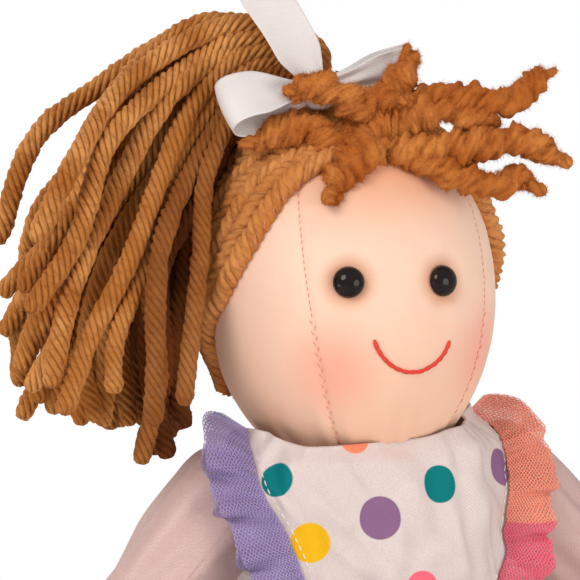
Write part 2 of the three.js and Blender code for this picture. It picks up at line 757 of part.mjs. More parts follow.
// Cloth shoe: rounded shell round the foot, open at the instep.
function shoe(side) {
  const rings = [];
  for (let k = 0; k <= 3; k += 1) {
    const t = k / 3;
    const z = mix(SOLE_T + GAP, SHOE[2], t);
    const shrink = 1 - 0.12 * t * t;
    rings.push(ring(z, (SHOE[0] / 2) * shrink, (SHOE[1] / 2) * shrink, 16, 2.3, 0, -5));
  }
  const body = loft(rings).translate(side * LEG_X, 0, 0);
  const mouth = new THREE.CylinderGeometry(1, 1, 30, 12).scale(11.4, 1, 15.5);
  mouth.rotateX(Math.PI / 2).translate(side * LEG_X, -6, SHOE[2] + 4.5);
  const hollow = legBody(side, GAP);
  return geometryOf(solid(body).subtract(hollow).subtract(solid(mouth)));
}

function sole(side) {
  const at = (z, inset) =>
    ring(z, SHOE[0] / 2 - inset, SHOE[1] / 2 - inset, 16, 2.3, side * LEG_X, -5);
  return loft([at(0, 0.6), at(0.6, 0), at(SOLE_T, 0)]);
}

function shoeStrap(side) {
  const curve = (grow) => (u, v) => {
    const x = side * LEG_X + mix(-10.6, 10.6, u);
    return V(x, mix(-19, -13, v), SHOE[2] + GAP + grow + 2.2 * Math.sin(u * Math.PI));
  };
  return cloth(curve(1.3), curve(0), 8, 1, false);
}

const doll = new THREE.Group();

function add(name, geometry, color, roughness = 0.85, metalness = 0) {
  const material = new THREE.MeshStandardMaterial({ color, roughness, metalness });
  const mesh = new THREE.Mesh(geometry, material);
  mesh.name = name;
  doll.add(mesh);
}

const SKIN_TONE = 0xf3c9a8;
const YARN = 0xc98646;
const SATIN = 0xf4eff2;
const PALE_PINK = 0xf3dde4;
const STUFFING = 0xf7f4ee;
const RIBBON = 0xf6f5f6;
const TAPE = 0xf2f2f2;
const PURPLE = 0x8d4bb5;
const CORAL = 0xf28a6b;
const PINK = 0xef4f8c;

add("head_stuffing", headStuffing(), STUFFING);
add("face_panel", headPanel(-SEAM_AZ, SEAM_AZ), SKIN_TONE);
add("right_side_panel", headPanel(-SIDE_AZ, -SEAM_AZ), SKIN_TONE);
add("left_side_panel", headPanel(SEAM_AZ, SIDE_AZ), SKIN_TONE);
add("head_back_panel", headPanel(SIDE_AZ, 360 - SIDE_AZ), SKIN_TONE);
for (const [name, spot] of Object.entries(EYES)) {
  add(name, eye(spot), 0x0c0a0a, 0.1);
  add(`${name}_washer`, washer(spot), 0xe8e8e6, 0.5);
}
add("hair_cap", hairCap(), YARN);
for (const name of Object.keys(LOCKS)) add(name, ponytailLock(name), YARN);
add("hair_tie", tieRing(0), 0x8a5a30);
add("fringe", fringe(), YARN);
add("bow_knot", cut(bowKnot(), capCover()), RIBBON, 0.4);
add("bow_right_loop", bowLoop(RIGHT_LOOP), RIBBON, 0.4);
add("bow_left_loop", bowLoop(LEFT_LOOP), RIBBON, 0.4);
add("ribbon_tail_up", ribbonTail(TAIL_UP, RIBBON_W, 0.45), RIBBON, 0.4);
add("ribbon_tail_side", ribbonTail(TAIL_SIDE, RIBBON_W, -0.45), RIBBON, 0.4);
add("torso", torso(), SKIN_TONE);
add("neck", neck(), SKIN_TONE);
add("bodice_front", bodice(-86, 86, 16), SATIN, 0.4);
add("bodice_back_right", bodice(-178.5, -86.6, 9), SATIN, 0.4);
add("bodice_back_left", bodice(86.6, 178.5, 9), SATIN, 0.4);
add("closure_hook_tape", closureTape(-1), TAPE);
add("closure_loop_tape", closureTape(1), TAPE);
add("purple_ruffle", ruffle(-1, BIB_FOOT, BIB_TOP, 5, 0), PURPLE, 0.7);
add("coral_ruffle", ruffle(1, BIB_COLOR_CHANGE + GAP, BIB_TOP, 2, 0.1), CORAL, 0.7);
add("pink_ruffle", ruffle(1, BIB_FOOT, BIB_COLOR_CHANGE, 3, 0.1), PINK, 0.7);
add("waistband", waistband(), PALE_PINK, 0.4);
add("skirt_right_half", skirtHalf(-1), SATIN, 0.4);
add("skirt_left_half", skirtHalf(1), SATIN, 0.4);
const RAINBOW = {
  purple: PURPLE,
  blue: 0x4b8fe0,
  green: 0x6fc476,
  yellow: 0xf5d84a,
  coral: CORAL,
  pink: PINK,
};
Object.entries(RAINBOW).forEach(([name, color], k) => {
  add(`tulle_${name}`, tullePanel(k < 3 ? -1 : 1, k % 3), color, 0.7);
});
for (const [name, side] of [["right", -1], ["left", 1]]) {
  add(`${name}_shoulder_flap`, shoulderFlap(side), SKIN_TONE);
  add(`${name}_arm`, arm(side), SKIN_TONE);
  add(`${name}_sleeve`, sleeve(side), PALE_PINK, 0.4);
  add(`${name}_hip_flap`, hipFlap(side), SKIN_TONE);
  add(`${name}_leg`, leg(side), SKIN_TONE);
  add(`${name}_shoe`, shoe(side), 0xe86aa6);
  add(`${name}_sole`, sole(side), 0xf4f0ee);
  add(`${name}_shoe_strap`, shoeStrap(side), 0xe86aa6);
}

// The origin is under the middle of the doll's bounding box, on the floor.
const bounds = new THREE.Box3().setFromObject(doll);
const centre = bounds.getCenter(V(0, 0, 0));
doll.position.set(-centre.x, -centre.y, -bounds.min.z);

const part = new THREE.Group();
part.add(doll);
export default part;
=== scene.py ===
# A stuffed rag doll with yarn hair, a satin bow and a dotted satin dress, seen from its right front.
# Lengths in this script are millimetres in the doll's own frame until point() turns them into metres.
import random
from math import acos, atan2, copysign, cos, exp, hypot, pi, radians, sin, sqrt
from random import gauss, uniform

import bpy
from mathutils import Matrix, Vector, noise


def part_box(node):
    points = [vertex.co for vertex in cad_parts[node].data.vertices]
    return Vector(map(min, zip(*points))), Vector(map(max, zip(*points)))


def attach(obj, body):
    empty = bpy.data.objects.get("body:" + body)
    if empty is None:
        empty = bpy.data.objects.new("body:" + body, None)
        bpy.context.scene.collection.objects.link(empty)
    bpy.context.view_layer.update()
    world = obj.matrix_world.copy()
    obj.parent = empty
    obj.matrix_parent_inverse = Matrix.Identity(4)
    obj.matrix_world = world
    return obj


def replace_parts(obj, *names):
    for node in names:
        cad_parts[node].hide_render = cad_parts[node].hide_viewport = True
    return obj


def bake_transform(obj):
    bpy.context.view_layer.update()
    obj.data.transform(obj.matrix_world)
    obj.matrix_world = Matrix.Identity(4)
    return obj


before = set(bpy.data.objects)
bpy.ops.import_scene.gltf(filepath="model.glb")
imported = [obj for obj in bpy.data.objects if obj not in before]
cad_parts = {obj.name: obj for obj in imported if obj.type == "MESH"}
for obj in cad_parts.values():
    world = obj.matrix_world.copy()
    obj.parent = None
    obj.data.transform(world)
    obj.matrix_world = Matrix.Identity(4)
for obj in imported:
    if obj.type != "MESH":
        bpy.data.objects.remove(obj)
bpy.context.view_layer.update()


random.seed(7)

# frame and small helpers
lo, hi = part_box("torso")
SHIFT = Vector(((lo.x + hi.x) / 2, (lo.y + hi.y) / 2, 0))
HEAD_Z, HEAD_R, HEAD_H, HEAD_FOOT = 292.0, 47.3, 60.7, 241.3
YAW = 24.6  # the picture is taken from this many degrees to the doll's right of straight ahead
ROLL = radians(4)  # tilt of the picture
PICTURE = 580  # dots along each side of the picture
DOT = 0.3245  # millimetres at the head that one dot spans
AIM = (59.4, 0.2)  # the head's middle lies this many dots right of and above the picture's


def point(p):
    return Vector(p) * 0.001 + SHIFT


def mix(a, b, t):
    return a + (b - a) * t


def clamp(x, a=0.0, b=1.0):
    return max(a, min(b, x))


def smooth(t):
    """Runs softly from 0 to 1 as t does."""
    t = clamp(t)
    return t * t * (3 - 2 * t)


def bump(x, centre, width):
    return exp(-(((x - centre) / width) ** 2))


def gauss_vector():
    return Vector([gauss(0, 1) for _ in range(3)])


def shaken(reach):
    return Vector([uniform(-reach, reach) for _ in range(3)])


def outward(p):
    """Level direction from the doll's axis to p."""
    return Vector((p.x, p.y, 0)).normalized()


def turns(n):
    """Angles of n even steps round a circle."""
    return [2 * pi * i / n for i in range(n)]


def compass(az, r=1.0, z=0.0):
    a = radians(az)
    return Vector((sin(a) * r, -cos(a) * r, z))


def table(rows, key, column=1):
    """Value at a key of a smooth curve through rows that start with their key."""
    if key <= rows[0][0]:
        return rows[0][column]
    if key >= rows[-1][0]:
        return rows[-1][column]
    i = 0
    while rows[i + 1][0] < key:
        i += 1

    def slope(k):
        a, b = rows[max(k - 1, 0)], rows[min(k + 1, len(rows) - 1)]
        return (b[column] - a[column]) / (b[0] - a[0])

    span = rows[i + 1][0] - rows[i][0]
    t = (key - rows[i][0]) / span
    h = t * t * (3 - 2 * t)
    a = slope(i) * span * t * (1 - t) * (1 - t)
    b = slope(i + 1) * span * t * t * (1 - t)
    return mix(rows[i][column], rows[i + 1][column], h) + a - b


def around(az, z, ax, ay, power=2.3):
    """Point of a rounded oval, level at z."""
    s, c = sin(radians(az)), cos(radians(az))
    x = ax * copysign(abs(s) ** (2 / power), s)
    y = -ay * copysign(abs(c) ** (2 / power), c)
    return Vector((x, y, z))


def seen(across, up, near):
    """Point given as the picture shows it: across and up from the head's middle, and nearness."""
    yaw = radians(YAW)
    x = across * cos(yaw) - near * sin(yaw)
    y = -across * sin(yaw) - near * cos(yaw)
    return Vector((x, y, HEAD_Z + up))


def wobble(p, scale=1.0, seed=0.0):
    """Smooth noise between about -1 and 1."""
    return noise.noise(Vector(p) * scale + Vector((seed, seed * 1.7, -seed)))


def build(name, verts, faces, material, slot, uvs=None, second=None):
    """A smooth mesh from points in the doll's frame; uvs and second hold one pair a point."""
    mesh = bpy.data.meshes.new(name)
    mesh.from_pydata([tuple(point(v)) for v in verts], [], faces)
    mesh.validate()
    mesh.shade_smooth()
    corners = [0] * len(mesh.loops)
    mesh.loops.foreach_get("vertex_index", corners)
    for title, pairs in (("cloth", uvs), ("ply", second)):
        if pairs:
            layer = mesh.uv_layers.new(name=title)
            layer.data.foreach_set("uv", [c for i in corners for c in pairs[i]])
    mesh.materials.append(material)
    obj = bpy.data.objects.new(name, mesh)
    bpy.context.scene.collection.objects.link(obj)
    return obj


def quads(rows, columns, across=None, base=0):
    """Faces between rows of points, which close to rings unless across is less than columns."""
    faces = []
    for j in range(rows):
        for i in range(across or columns):
            a, b = base + j * columns + i, base + j * columns + (i + 1) % columns
            faces.append((a, b, b + columns, a + columns))
    return faces


def grid(fn, nu, nv, round_u=False, cloth=(1, 1)):
    """Points, faces and uvs of a surface fn(u, v); cloth is its length in metres along u and v."""
    columns = nu if round_u else nu + 1
    spots = [(i / nu, j / nv) for j in range(nv + 1) for i in range(columns)]
    uvs = [(u * cloth[0], v * cloth[1]) for u, v in spots]
    return [fn(*spot) for spot in spots], quads(nv, columns, nu), uvs


def joined(parts):
    """One list of points and one of faces from several pairs of them."""
    verts, faces = [], []
    for v, f in parts:
        base = len(verts)
        verts += v
        faces += [tuple(i + base for i in q) for q in f]
    return verts, faces


def faces_inward(verts, faces):
    middle = sum(verts, Vector()) / len(verts)
    total = 0.0
    for a, b, c, d in faces:
        normal = (verts[c] - verts[a]).cross(verts[d] - verts[b])
        total += normal.dot(verts[a] - middle)
    return total < 0


def shell(name, fn, nu, nv, material, slot, round_u=False, cloth=(1, 1), thick=0.5, inward=-1.0):
    """A sheet over the surface fn(u, v), made thick on its inner side."""
    verts, faces, uvs = grid(fn, nu, nv, round_u, cloth)
    if faces_inward(verts, faces):
        faces = [f[::-1] for f in faces]
    obj = build(name, verts, faces, material, slot, uvs)
    if thick:
        mod = obj.modifiers.new("cloth", "SOLIDIFY")
        mod.thickness, mod.offset = thick * 0.001, inward
    return obj


def loft(name, rings, material, slot):
    """A closed body through rings of points, with a flat fan at each end."""
    n = len(rings[0])
    verts = [p for r in rings for p in r]
    faces = quads(len(rings) - 1, n)
    first, last = len(verts), len(verts) + 1
    verts += [sum(rings[0], Vector()) / n, sum(rings[-1], Vector()) / n]
    top = (len(rings) - 1) * n
    for i in range(n):
        faces += [((i + 1) % n, i, first), (top + i, top + (i + 1) % n, last)]
    return build(name, verts, faces, material, slot, [(0, 0)] * len(verts))


# materials
class Nodes:
    """A few short words for building one material's node tree."""

    def __init__(self, name, color, roughness, **sockets):
        self.material = bpy.data.materials.new(name)
        self.material.use_nodes = True
        self.tree = self.material.node_tree
        self.shader = self.tree.nodes["Principled BSDF"]
        self.shader.inputs["Base Color"].default_value = (*color, 1)
        self.shader.inputs["Roughness"].default_value = roughness
        for key, value in sockets.items():
            self.shader.inputs[key.replace("_", " ")].default_value = value
        self.coord = self.tree.nodes.new("ShaderNodeTexCoord")
        self.uv = self.coord.outputs["UV"]
        self.obj = self.coord.outputs["Object"]

    def node(self, kind, inputs=None, **settings):
        """A node with its settings, and its inputs given a value or joined to a socket."""
        made = self.tree.nodes.new("ShaderNode" + kind)
        for key, value in settings.items():
            setattr(made, key, value)
        for key, value in (inputs or {}).items():
            self.put(made.inputs[key], value)
        return made

    def put(self, socket, value):
        if isinstance(value, bpy.types.NodeSocket):
            self.tree.links.new(value, socket)
        elif value is not None:
            socket.default_value = value

    def math(self, operation, a, b=None):
        return self.node("Math", {0: a, 1: b}, operation=operation).outputs[0]

    def noise(self, scale, detail=3, vector=None, stretch=None):
        place = vector or self.obj
        if stretch:
            place = self.node("Mapping", {"Vector": place, "Scale": stretch}).outputs[0]
        return self.node("TexNoise", {"Vector": place, "Scale": scale, "Detail": detail}).outputs["Fac"]

    def wave(self, scale, vector, direction, distortion=0.0):
        inputs = {"Vector": vector, "Scale": scale, "Distortion": distortion}
        return self.node("TexWave", inputs, bands_direction=direction).outputs["Fac"]

    def ramp(self, value, low, high, to_low=0.0, to_high=1.0, kind="SMOOTHSTEP"):
        inputs = dict(enumerate((value, low, high, to_low, to_high)))
        return self.node("MapRange", inputs, interpolation_type=kind).outputs[0]

    def blend(self, fac, a, b):
        a, b = [(*v, 1) if isinstance(v, tuple) and len(v) == 3 else v for v in (a, b)]
        return self.node("Mix", {0: fac, 6: a, 7: b}, data_type="RGBA").outputs[2]

    def distance(self, p):
        return self.node("VectorMath", {0: self.obj, 1: tuple(p)}, operation="DISTANCE").outputs["Value"]

    def color(self, socket):
        self.put(self.shader.inputs["Base Color"], socket)

    def bump(self, height, strength=0.3, distance=0.0002):
        n = self.node("Bump", {"Strength": strength, "Distance": distance, "Height": height})
        self.put(self.shader.inputs["Normal"], n.outputs[0])


def shaded(color, share):
    return tuple(c * share for c in color)


def head_point(az, height, grow=0.0):
    """Point of the plain egg under the head's cloth, at a direction and a height from its middle."""
    up = height / (HEAD_H + grow)
    r = (HEAD_R + grow) * sqrt(max(0.0, 1 - up * up))
    return compass(az, r, HEAD_Z + height)


def head_normal(az, height):
    p = head_point(az, height)
    return Vector((p.x / HEAD_R**2, p.y / HEAD_R**2, height / HEAD_H**2)).normalized()


SKIN = (0.90, 0.60, 0.425)
EYES = {"right_eye": (-25.8, 2.4), "left_eye": (12.8, 0.8)}


def skin_cloth(name, face=False):
    """Jersey cloth with a small V-knit, warmer low on the head; the face has its blush, a painted shadow of
    the fringe on the forehead and painted shade round the eyes.
    """
    m = Nodes(name, SKIN, 0.85, Subsurface_Weight=0.2, Subsurface_Scale=0.004,
              Subsurface_Radius=(1.0, 0.45, 0.25), Sheen_Weight=0.08, Sheen_Roughness=0.5)
    color = m.blend(m.ramp(m.noise(60, 4), 0.3, 0.7), (0.885, 0.60, 0.465), (0.87, 0.575, 0.44))
    height = m.node("SeparateXYZ", {0: m.obj}).outputs[2]
    low = m.ramp(height, (HEAD_Z - 50) * 0.001, (HEAD_Z + 25) * 0.001, 0.85, 0.0)
    color = m.blend(low, color, (0.88, 0.50, 0.345))
    if face:
        # painted shadow: the fringe's warm shade on the upper forehead
        painted_fringe_shadow = (-4, 50, 0.014, 0.048, 1.0, (0.78, 0.36, 0.205))
        blush = [(az, h, 0.001, 0.021, 0.5, (0.86, 0.25, 0.19)) for az, h in ((-35, -25), (39, -22))]
        # painted shade in the dimple round each eye
        eye_dimple_shade = [(az, h, 0.0046, 0.0105, 0.55, (0.62, 0.22, 0.09)) for az, h in EYES.values()]
        # the blush is dye; the forehead and eye marks are painted shade
        for az, h, near, far, depth, blush_and_shade in (painted_fringe_shadow, *blush, *eye_dimple_shade):
            d = m.distance(point(head_point(az, h)))
            color = m.blend(m.ramp(d, near, far, depth, 0.0), color, blush_and_shade)
    m.color(color)
    knit = m.math("MULTIPLY", m.wave(900, m.obj, "X"), m.wave(1100, m.obj, "Z"))
    m.bump(m.math("ADD", knit, m.noise(900, 2)), 0.25, 0.00012)
    return m.material


def yarn_material(name, light, dark, streak_and_shade_dark, groove_shade, relief=0.9):
    """Wool: mottled in patches and streaked along the fibres, with painted shade between the plies and on
    strands given shade.
    """
    m = Nodes(name, light, 0.9, Specular_IOR_Level=0.2, Sheen_Weight=0.2, Sheen_Roughness=0.4,
              Sheen_Tint=(*light, 1))
    fibres = m.noise(1, 4, m.uv, (90.0, 700.0, 1.0))
    color = m.blend(m.ramp(m.noise(55, 3), 0.32, 0.68), light, dark)
    color = m.blend(m.ramp(fibres, 0.45, 0.78, 0.0, 0.6), color, streak_and_shade_dark)
    lobe, tone_and_shade = m.node("SeparateXYZ", {0: m.node("UVMap", uv_map="ply").outputs[0]}).outputs[:2]
    # painted shade in the grooves between the plies
    color = m.blend(m.ramp(lobe, 0.05, 0.62, groove_shade, 0.0), color, streak_and_shade_dark)
    # random tone of each strand, plus painted shade on strands given shade
    color = m.blend(m.ramp(tone_and_shade, 0.45, 1.0, 0.0, 0.4), color, dark)
    # painted shade: strands given shade go further towards the darkest colour
    color = m.blend(m.ramp(tone_and_shade, 1.0, 2.0, 0.0, 0.85), color, streak_and_shade_dark)
    m.color(color)
    m.bump(fibres, relief, 0.0005)
    return m.material


def satin_material(name, color, dots=None, field=None, speckle=0.6):
    """Satin with printed dots: dots lists place, radius and colour, field is the radius of scattered ones."""
    m = Nodes(name, color, 0.44, Specular_IOR_Level=0.4, Anisotropic=0.3)
    base = m.blend(m.ramp(m.noise(45, 3), 0.3, 0.7), shaded(color, 1.05), color)
    base = m.blend(m.ramp(m.noise(2400, 2), 0.4, 0.62, 0.0, speckle), base, shaded(color, 0.86))
    if dots:
        ink = 0.0
        for p, r, c in dots:
            edge = m.ramp(m.distance(point(p)), (r - 0.35) * 0.001, (r + 0.15) * 0.001, 1.0, 0.0)
            base = m.blend(edge, base, c)
            ink = m.math("ADD", ink, edge)
        m.put(m.shader.inputs["Specular IOR Level"], m.ramp(ink, 0.0, 1.0, 0.45, 0.03))
    if field:
        base = dot_field(m, base, field)
    m.color(base)
    weave = m.math("ADD", m.wave(520, m.uv, "DIAGONAL", 1.2), m.noise(1, 3, m.uv, (5200.0, 700.0, 1.0)))
    m.bump(m.math("ADD", weave, m.math("MULTIPLY", m.noise(260, 4), 4.0)), 0.5, 0.00007)
    return m.material


DOT_GRID = 46  # cells of the scattered dots in one metre
DOT_COLORS = {
    "teal": (0.004, 0.175, 0.185),
    "yellow": (0.78, 0.43, 0.012),
    "purple": (0.24, 0.12, 0.235),
    "pink": (0.86, 0.14, 0.20),
    "coral": (0.88, 0.23, 0.13),
}


def dot_field(m, base, radius):
    """Scattered round dots of five colours, one in each cell of a slightly shaken grid."""
    inputs = {"Vector": m.uv, "Scale": DOT_GRID, "Randomness": 0.35}
    cells = m.node("TexVoronoi", inputs, voronoi_dimensions="2D")
    edge = radius * DOT_GRID
    inside = m.ramp(cells.outputs["Distance"], edge - 0.012, edge + 0.012, 1.0, 0.0)
    ramp = m.node("ValToRGB")
    ramp.color_ramp.interpolation = "CONSTANT"
    colors = list(DOT_COLORS.values())
    while len(ramp.color_ramp.elements) < len(colors):
        ramp.color_ramp.elements.new(0.5)
    for k, (element, c) in enumerate(zip(ramp.color_ramp.elements, colors)):
        element.position = k / len(colors)
        element.color = (*c, 1)
    m.put(ramp.inputs[0], m.node("SeparateColor", {0: cells.outputs["Color"]}).outputs[0])
    return m.blend(inside, base, ramp.outputs[0])


def tulle_material(name, color):
    """Fine net: threads round small six-sided holes, with clear air between them."""
    m = Nodes(name, color, 0.6, Specular_IOR_Level=0.3)
    base = m.blend(m.ramp(m.noise(70, 2), 0.3, 0.7), color, shaded(color, 0.8))
    slant = {"Vector": m.uv, "Rotation": (0, 0, radians(38)), "Scale": (1, 1.45, 1)}
    inputs = {"Vector": m.node("Mapping", slant).outputs[0], "Scale": 700, "Randomness": 0.35}
    net = m.node("TexVoronoi", inputs, feature="DISTANCE_TO_EDGE", voronoi_dimensions="2D")
    holes = net.outputs["Distance"]
    m.color(m.blend(m.ramp(holes, 0.08, 0.2), base, shaded(color, 0.6)))
    m.put(m.shader.inputs["Alpha"], m.ramp(holes, 0.12, 0.24, 1.0, 0.4, "LINEAR"))
    return m.material


def plain(name, color, roughness, **sockets):
    m = Nodes(name, color, roughness, **sockets)
    m.color(m.blend(m.ramp(m.noise(120, 3), 0.35, 0.65), color, shaded(color, 0.9)))
    m.bump(m.noise(1800, 3), 0.3, 0.00008)
    return m.material


FACE = skin_cloth("face cloth", True)
BODY = skin_cloth("body cloth")
# third colour: dark of the fibre streaks and of the painted shade; the number after it: strength of the
# painted shade in the grooves
YARN = yarn_material("yarn", (0.62, 0.275, 0.08), (0.37, 0.122, 0.02), (0.12, 0.026, 0.004), 0.62, 0.7)
CAP_YARN = yarn_material("cap yarn", (0.64, 0.275, 0.085), (0.50, 0.18, 0.042), (0.22, 0.058, 0.009), 0.75)
FRINGE = yarn_material("fringe yarn", (0.56, 0.205, 0.045), (0.40, 0.105, 0.014), (0.20, 0.036, 0.003),
                       0.45, 0.4)
RIBBON = satin_material("ribbon satin", (0.68, 0.63, 0.62), speckle=0.12)
WHITE_SATIN = (0.645, 0.54, 0.515)
PALE = (0.57, 0.385, 0.355)
THREAD_RED = plain("red thread", (0.70, 0.045, 0.025), 0.8)
THREAD_PINK = plain("seam thread", (0.80, 0.30, 0.22), 0.7)
THREAD_WHITE = plain("white thread", (0.85, 0.78, 0.74), 0.7)


# threads and yarn
def capsule(a, b, radius, normal, flat=0.7, sides=8, steps=6, belly=0.0):
    """A short stitch from a to b with round ends, flattened on the cloth."""
    axis = b - a
    t = axis.normalized()
    side = t.cross(normal).normalized()
    up = side.cross(t)
    verts = []
    for k in range(steps + 1):
        s = k / steps
        r = radius * max(0.02, sin(pi * clamp(0.06 + 0.88 * s)) ** 0.45)
        c = a + axis * s + up * (belly * sin(pi * s))
        for w in turns(sides):
            verts.append(c + side * (cos(w) * r) + up * (sin(w) * r * flat))
    ends = [tuple(range(sides))[::-1], tuple(steps * sides + i for i in range(sides))]
    return verts, quads(steps, sides) + ends


def stitches(name, made, material, slot, body):
    verts, faces = joined(made)
    obj = build(name, verts, faces, material, slot, [(0, 0)] * len(verts))
    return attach(obj, body)


def catmull(points, step):
    """Evenly spaced points along a smooth curve through the given ones."""
    pts = [Vector(p) for p in points]
    pts = [pts[0] * 2 - pts[1], *pts, pts[-1] * 2 - pts[-2]]
    fine = []
    for i in range(1, len(pts) - 2):
        a, b, c, d = pts[i - 1 : i + 3]
        for k in range(12):
            t = k / 12
            curve = 2 * b + (c - a) * t + (2 * a - 5 * b + 4 * c - d) * t * t
            fine.append(0.5 * (curve + (3 * b - a - 3 * c + d) * t**3))
    fine.append(pts[-2])
    out, left = [fine[0]], step
    for a, b in zip(fine, fine[1:]):
        length = (b - a).length
        while length >= left and length > 0:
            a = a + (b - a) * (left / length)
            out.append(a)
            length = (b - a).length
            left = step
        left -= length
    if (out[-1] - fine[-1]).length > step * 0.3:
        out.append(fine[-1])
    return out


FIBRE_WIDTH = 0.06


class YarnMesh:
    """Collects plied yarn strands and their loose fibres into one mesh."""

    def __init__(self):
        self.verts, self.faces, self.uvs, self.plies = [], [], [], []

    def strand(self, path, radius, plies=3, pitch=13.0, sides=15, step=0.9, depth=0.28, rough=0.06,
               fuzz=0, fuzz_length=1.6, lumps=0.0, swell=None, cloud=0.0, shade=0.0):
        """One strand: pitch is the length of a full twist, depth how far the grooves between plies go in,
        shade how much painted shade its colour gets.
        """
        line = catmull(path, step)
        count = len(line)
        seed = random.random() * 50
        # random tone plus painted shade
        tone_and_shade = random.random() + shade
        phase = random.random() * 6.28
        up = Vector((0, 0, 1))
        base = len(self.verts)
        length = 0.0
        surface = []
        for k, c in enumerate(line):
            t = (line[min(k + 1, count - 1)] - line[max(k - 1, 0)]).normalized()
            side = up.cross(t)
            if side.length < 1e-3:
                side = Vector((1, 0, 0)).cross(t)
            side.normalize()
            up = t.cross(side).normalized()
            s = k / (count - 1)
            r = radius * (swell(s) if swell else 1.0)
            left = (count - 1 - k) * step / radius
            r *= mix(0.4, 1.0, clamp(left) ** 0.5)
            r *= 1 + lumps * wobble((length * 0.22, seed, 1))
            turn = phase + 2 * pi * length / pitch
            for i, a in enumerate(turns(sides)):
                lobe = abs(cos(plies / 2 * a)) ** 0.7
                rr = r * (1 - depth + depth * 1.2 * lobe)
                rr *= 1 + rough * wobble((length * 0.6, i * 1.3, seed))
                if cloud:
                    rr *= 1 + cloud * wobble((length * 0.35, 2.2 * cos(a), 2.2 * sin(a)), 1.0, seed)
                w = a + turn
                d = side * cos(w) + up * sin(w)
                p = c + d * rr
                self.verts.append(p)
                self.uvs.append((i / sides * 0.1, length * 0.001 + seed))
                self.plies.append((lobe, tone_and_shade))
                surface.append((p, d, t))
            length += step
        self.faces += quads(count - 1, sides, base=base)
        self.faces.append(tuple(base + i for i in range(sides))[::-1])
        self.faces.append(tuple(base + (count - 1) * sides + i for i in range(sides)))
        for _ in range(fuzz):
            p, d, t = random.choice(surface)
            self.fibre(p, d, t, fuzz_length * uniform(0.5, 1.3), tone_and_shade)

    def fibre(self, p, d, t, length, tone_and_shade):
        """One loose fibre: a thin bent strip that stands off the yarn."""
        r = gauss_vector()
        along = (d * 0.55 + t * uniform(-1.0, 1.0) + r * 0.35).normalized()
        curl = (d * 0.5 + r * 0.6).normalized()
        side = along.cross(d)
        if side.length < 1e-4:
            return
        side = side.normalized() * FIBRE_WIDTH
        base = len(self.verts)
        for k in range(4):
            s = k / 3
            c = p - d * 0.15 + along * (length * s) + curl * (length * 0.35 * s * s)
            w = side * (1 - 0.8 * s)
            self.verts += [c - w, c + w]
            self.uvs += [(0.05, s * 0.001), (0.051, s * 0.001)]
            self.plies += [(1.0, tone_and_shade), (1.0, tone_and_shade)]
        for k in range(3):
            a = base + 2 * k
            self.faces.append((a, a + 1, a + 3, a + 2))

    def make(self, name, material, slot):
        return build(name, self.verts, self.faces, material, slot, self.uvs, self.plies)


FUZZ = 1.0


# head
def seam_az(height):
    return 41.6 + 3.1 * height / 32.4 + 1.3 * (height / 32.4) ** 2


def head_surface(az, height, lift=0.0):
    """Point of the face cloth: an egg with seam valleys, eye dimples and faint pulls."""
    n = head_normal(az, height)
    p = head_point(az, height)
    off = lift
    for side in (-1, 1):
        d = (az - side * seam_az(height)) * pi / 180 * HEAD_R
        if abs(d) < 8:
            off -= 0.45 * bump(d, 0, 0.8) + 0.35 * bump(d, 0, 3.2)
            off += 0.18 * bump(d, 0, 2.2) * wobble((0, 0, height), 0.35, side * 9 + 20)
    for e_az, e_h in EYES.values():
        q = head_point(e_az, e_h)
        d = (p - q).length
        if d < 22:
            off -= 1.25 * bump(d, 0, 7.5)
            ang = atan2(height - e_h, (az - e_az))
            off += 0.12 * sin(ang * 5 + e_az) * bump(d, 9, 4)
    low = clamp((-height - 34) / 17)
    off += 0.35 * low * sin(radians(az) * 22 + 2 * wobble((az * 0.05, 0, 0), 1))
    off += 0.25 * wobble(p, 0.05, 3) + 0.1 * wobble(p, 0.16, 5)
    return p + n * off


def head_mesh():
    def fn(u, v):
        polar = mix(0.02, acos(-(HEAD_Z - HEAD_FOOT) / HEAD_H), v)
        return head_surface(u * 360 - 180, HEAD_H * cos(polar))

    obj = shell("head_skin", fn, 420, 220, FACE, "skin_cloth",
                round_u=True, thick=0.9)
    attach(obj, "head")
    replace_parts(obj, "face_panel", "right_side_panel", "left_side_panel", "head_back_panel")


def on_head(az, height, lift):
    return head_surface(az, height, lift), head_normal(az, height)


# Smile: direction of its middle, degrees to each corner, lowest height, rise to the corners, and bend.
SMILE_AZ, SMILE_HALF, SMILE_LOW, SMILE_RISE, SMILE_BEND = -0.6, 16.7, -26.9, 9.6, 1.35


def smile():
    """Thirteen overlapping red stitches along an arc."""
    made, spots = [], []
    count = 13
    for k in range(count + 1):
        t = k / count * 2 - 1
        az = SMILE_AZ + SMILE_HALF * sin(t * SMILE_BEND) / sin(SMILE_BEND)
        height = SMILE_LOW + SMILE_RISE * (1 - cos(t * SMILE_BEND)) / (1 - cos(SMILE_BEND)) - 1.0 * t
        spots.append((az, height))
    for (a_az, a_h), (b_az, b_h) in zip(spots, spots[1:]):
        d_az, d_h = b_az - a_az, b_h - a_h
        a, n = on_head(a_az - d_az * 0.16, a_h - d_h * 0.16 + uniform(-0.1, 0.1), 0.2)
        b, _ = on_head(b_az + d_az * 0.16, b_h + d_h * 0.16 + uniform(-0.1, 0.1), 0.2)
        made.append(capsule(a, b, 0.72, n, 0.8, belly=0.3))
    stitches("smile_stitches", made, THREAD_RED, "skin_cloth", "head")


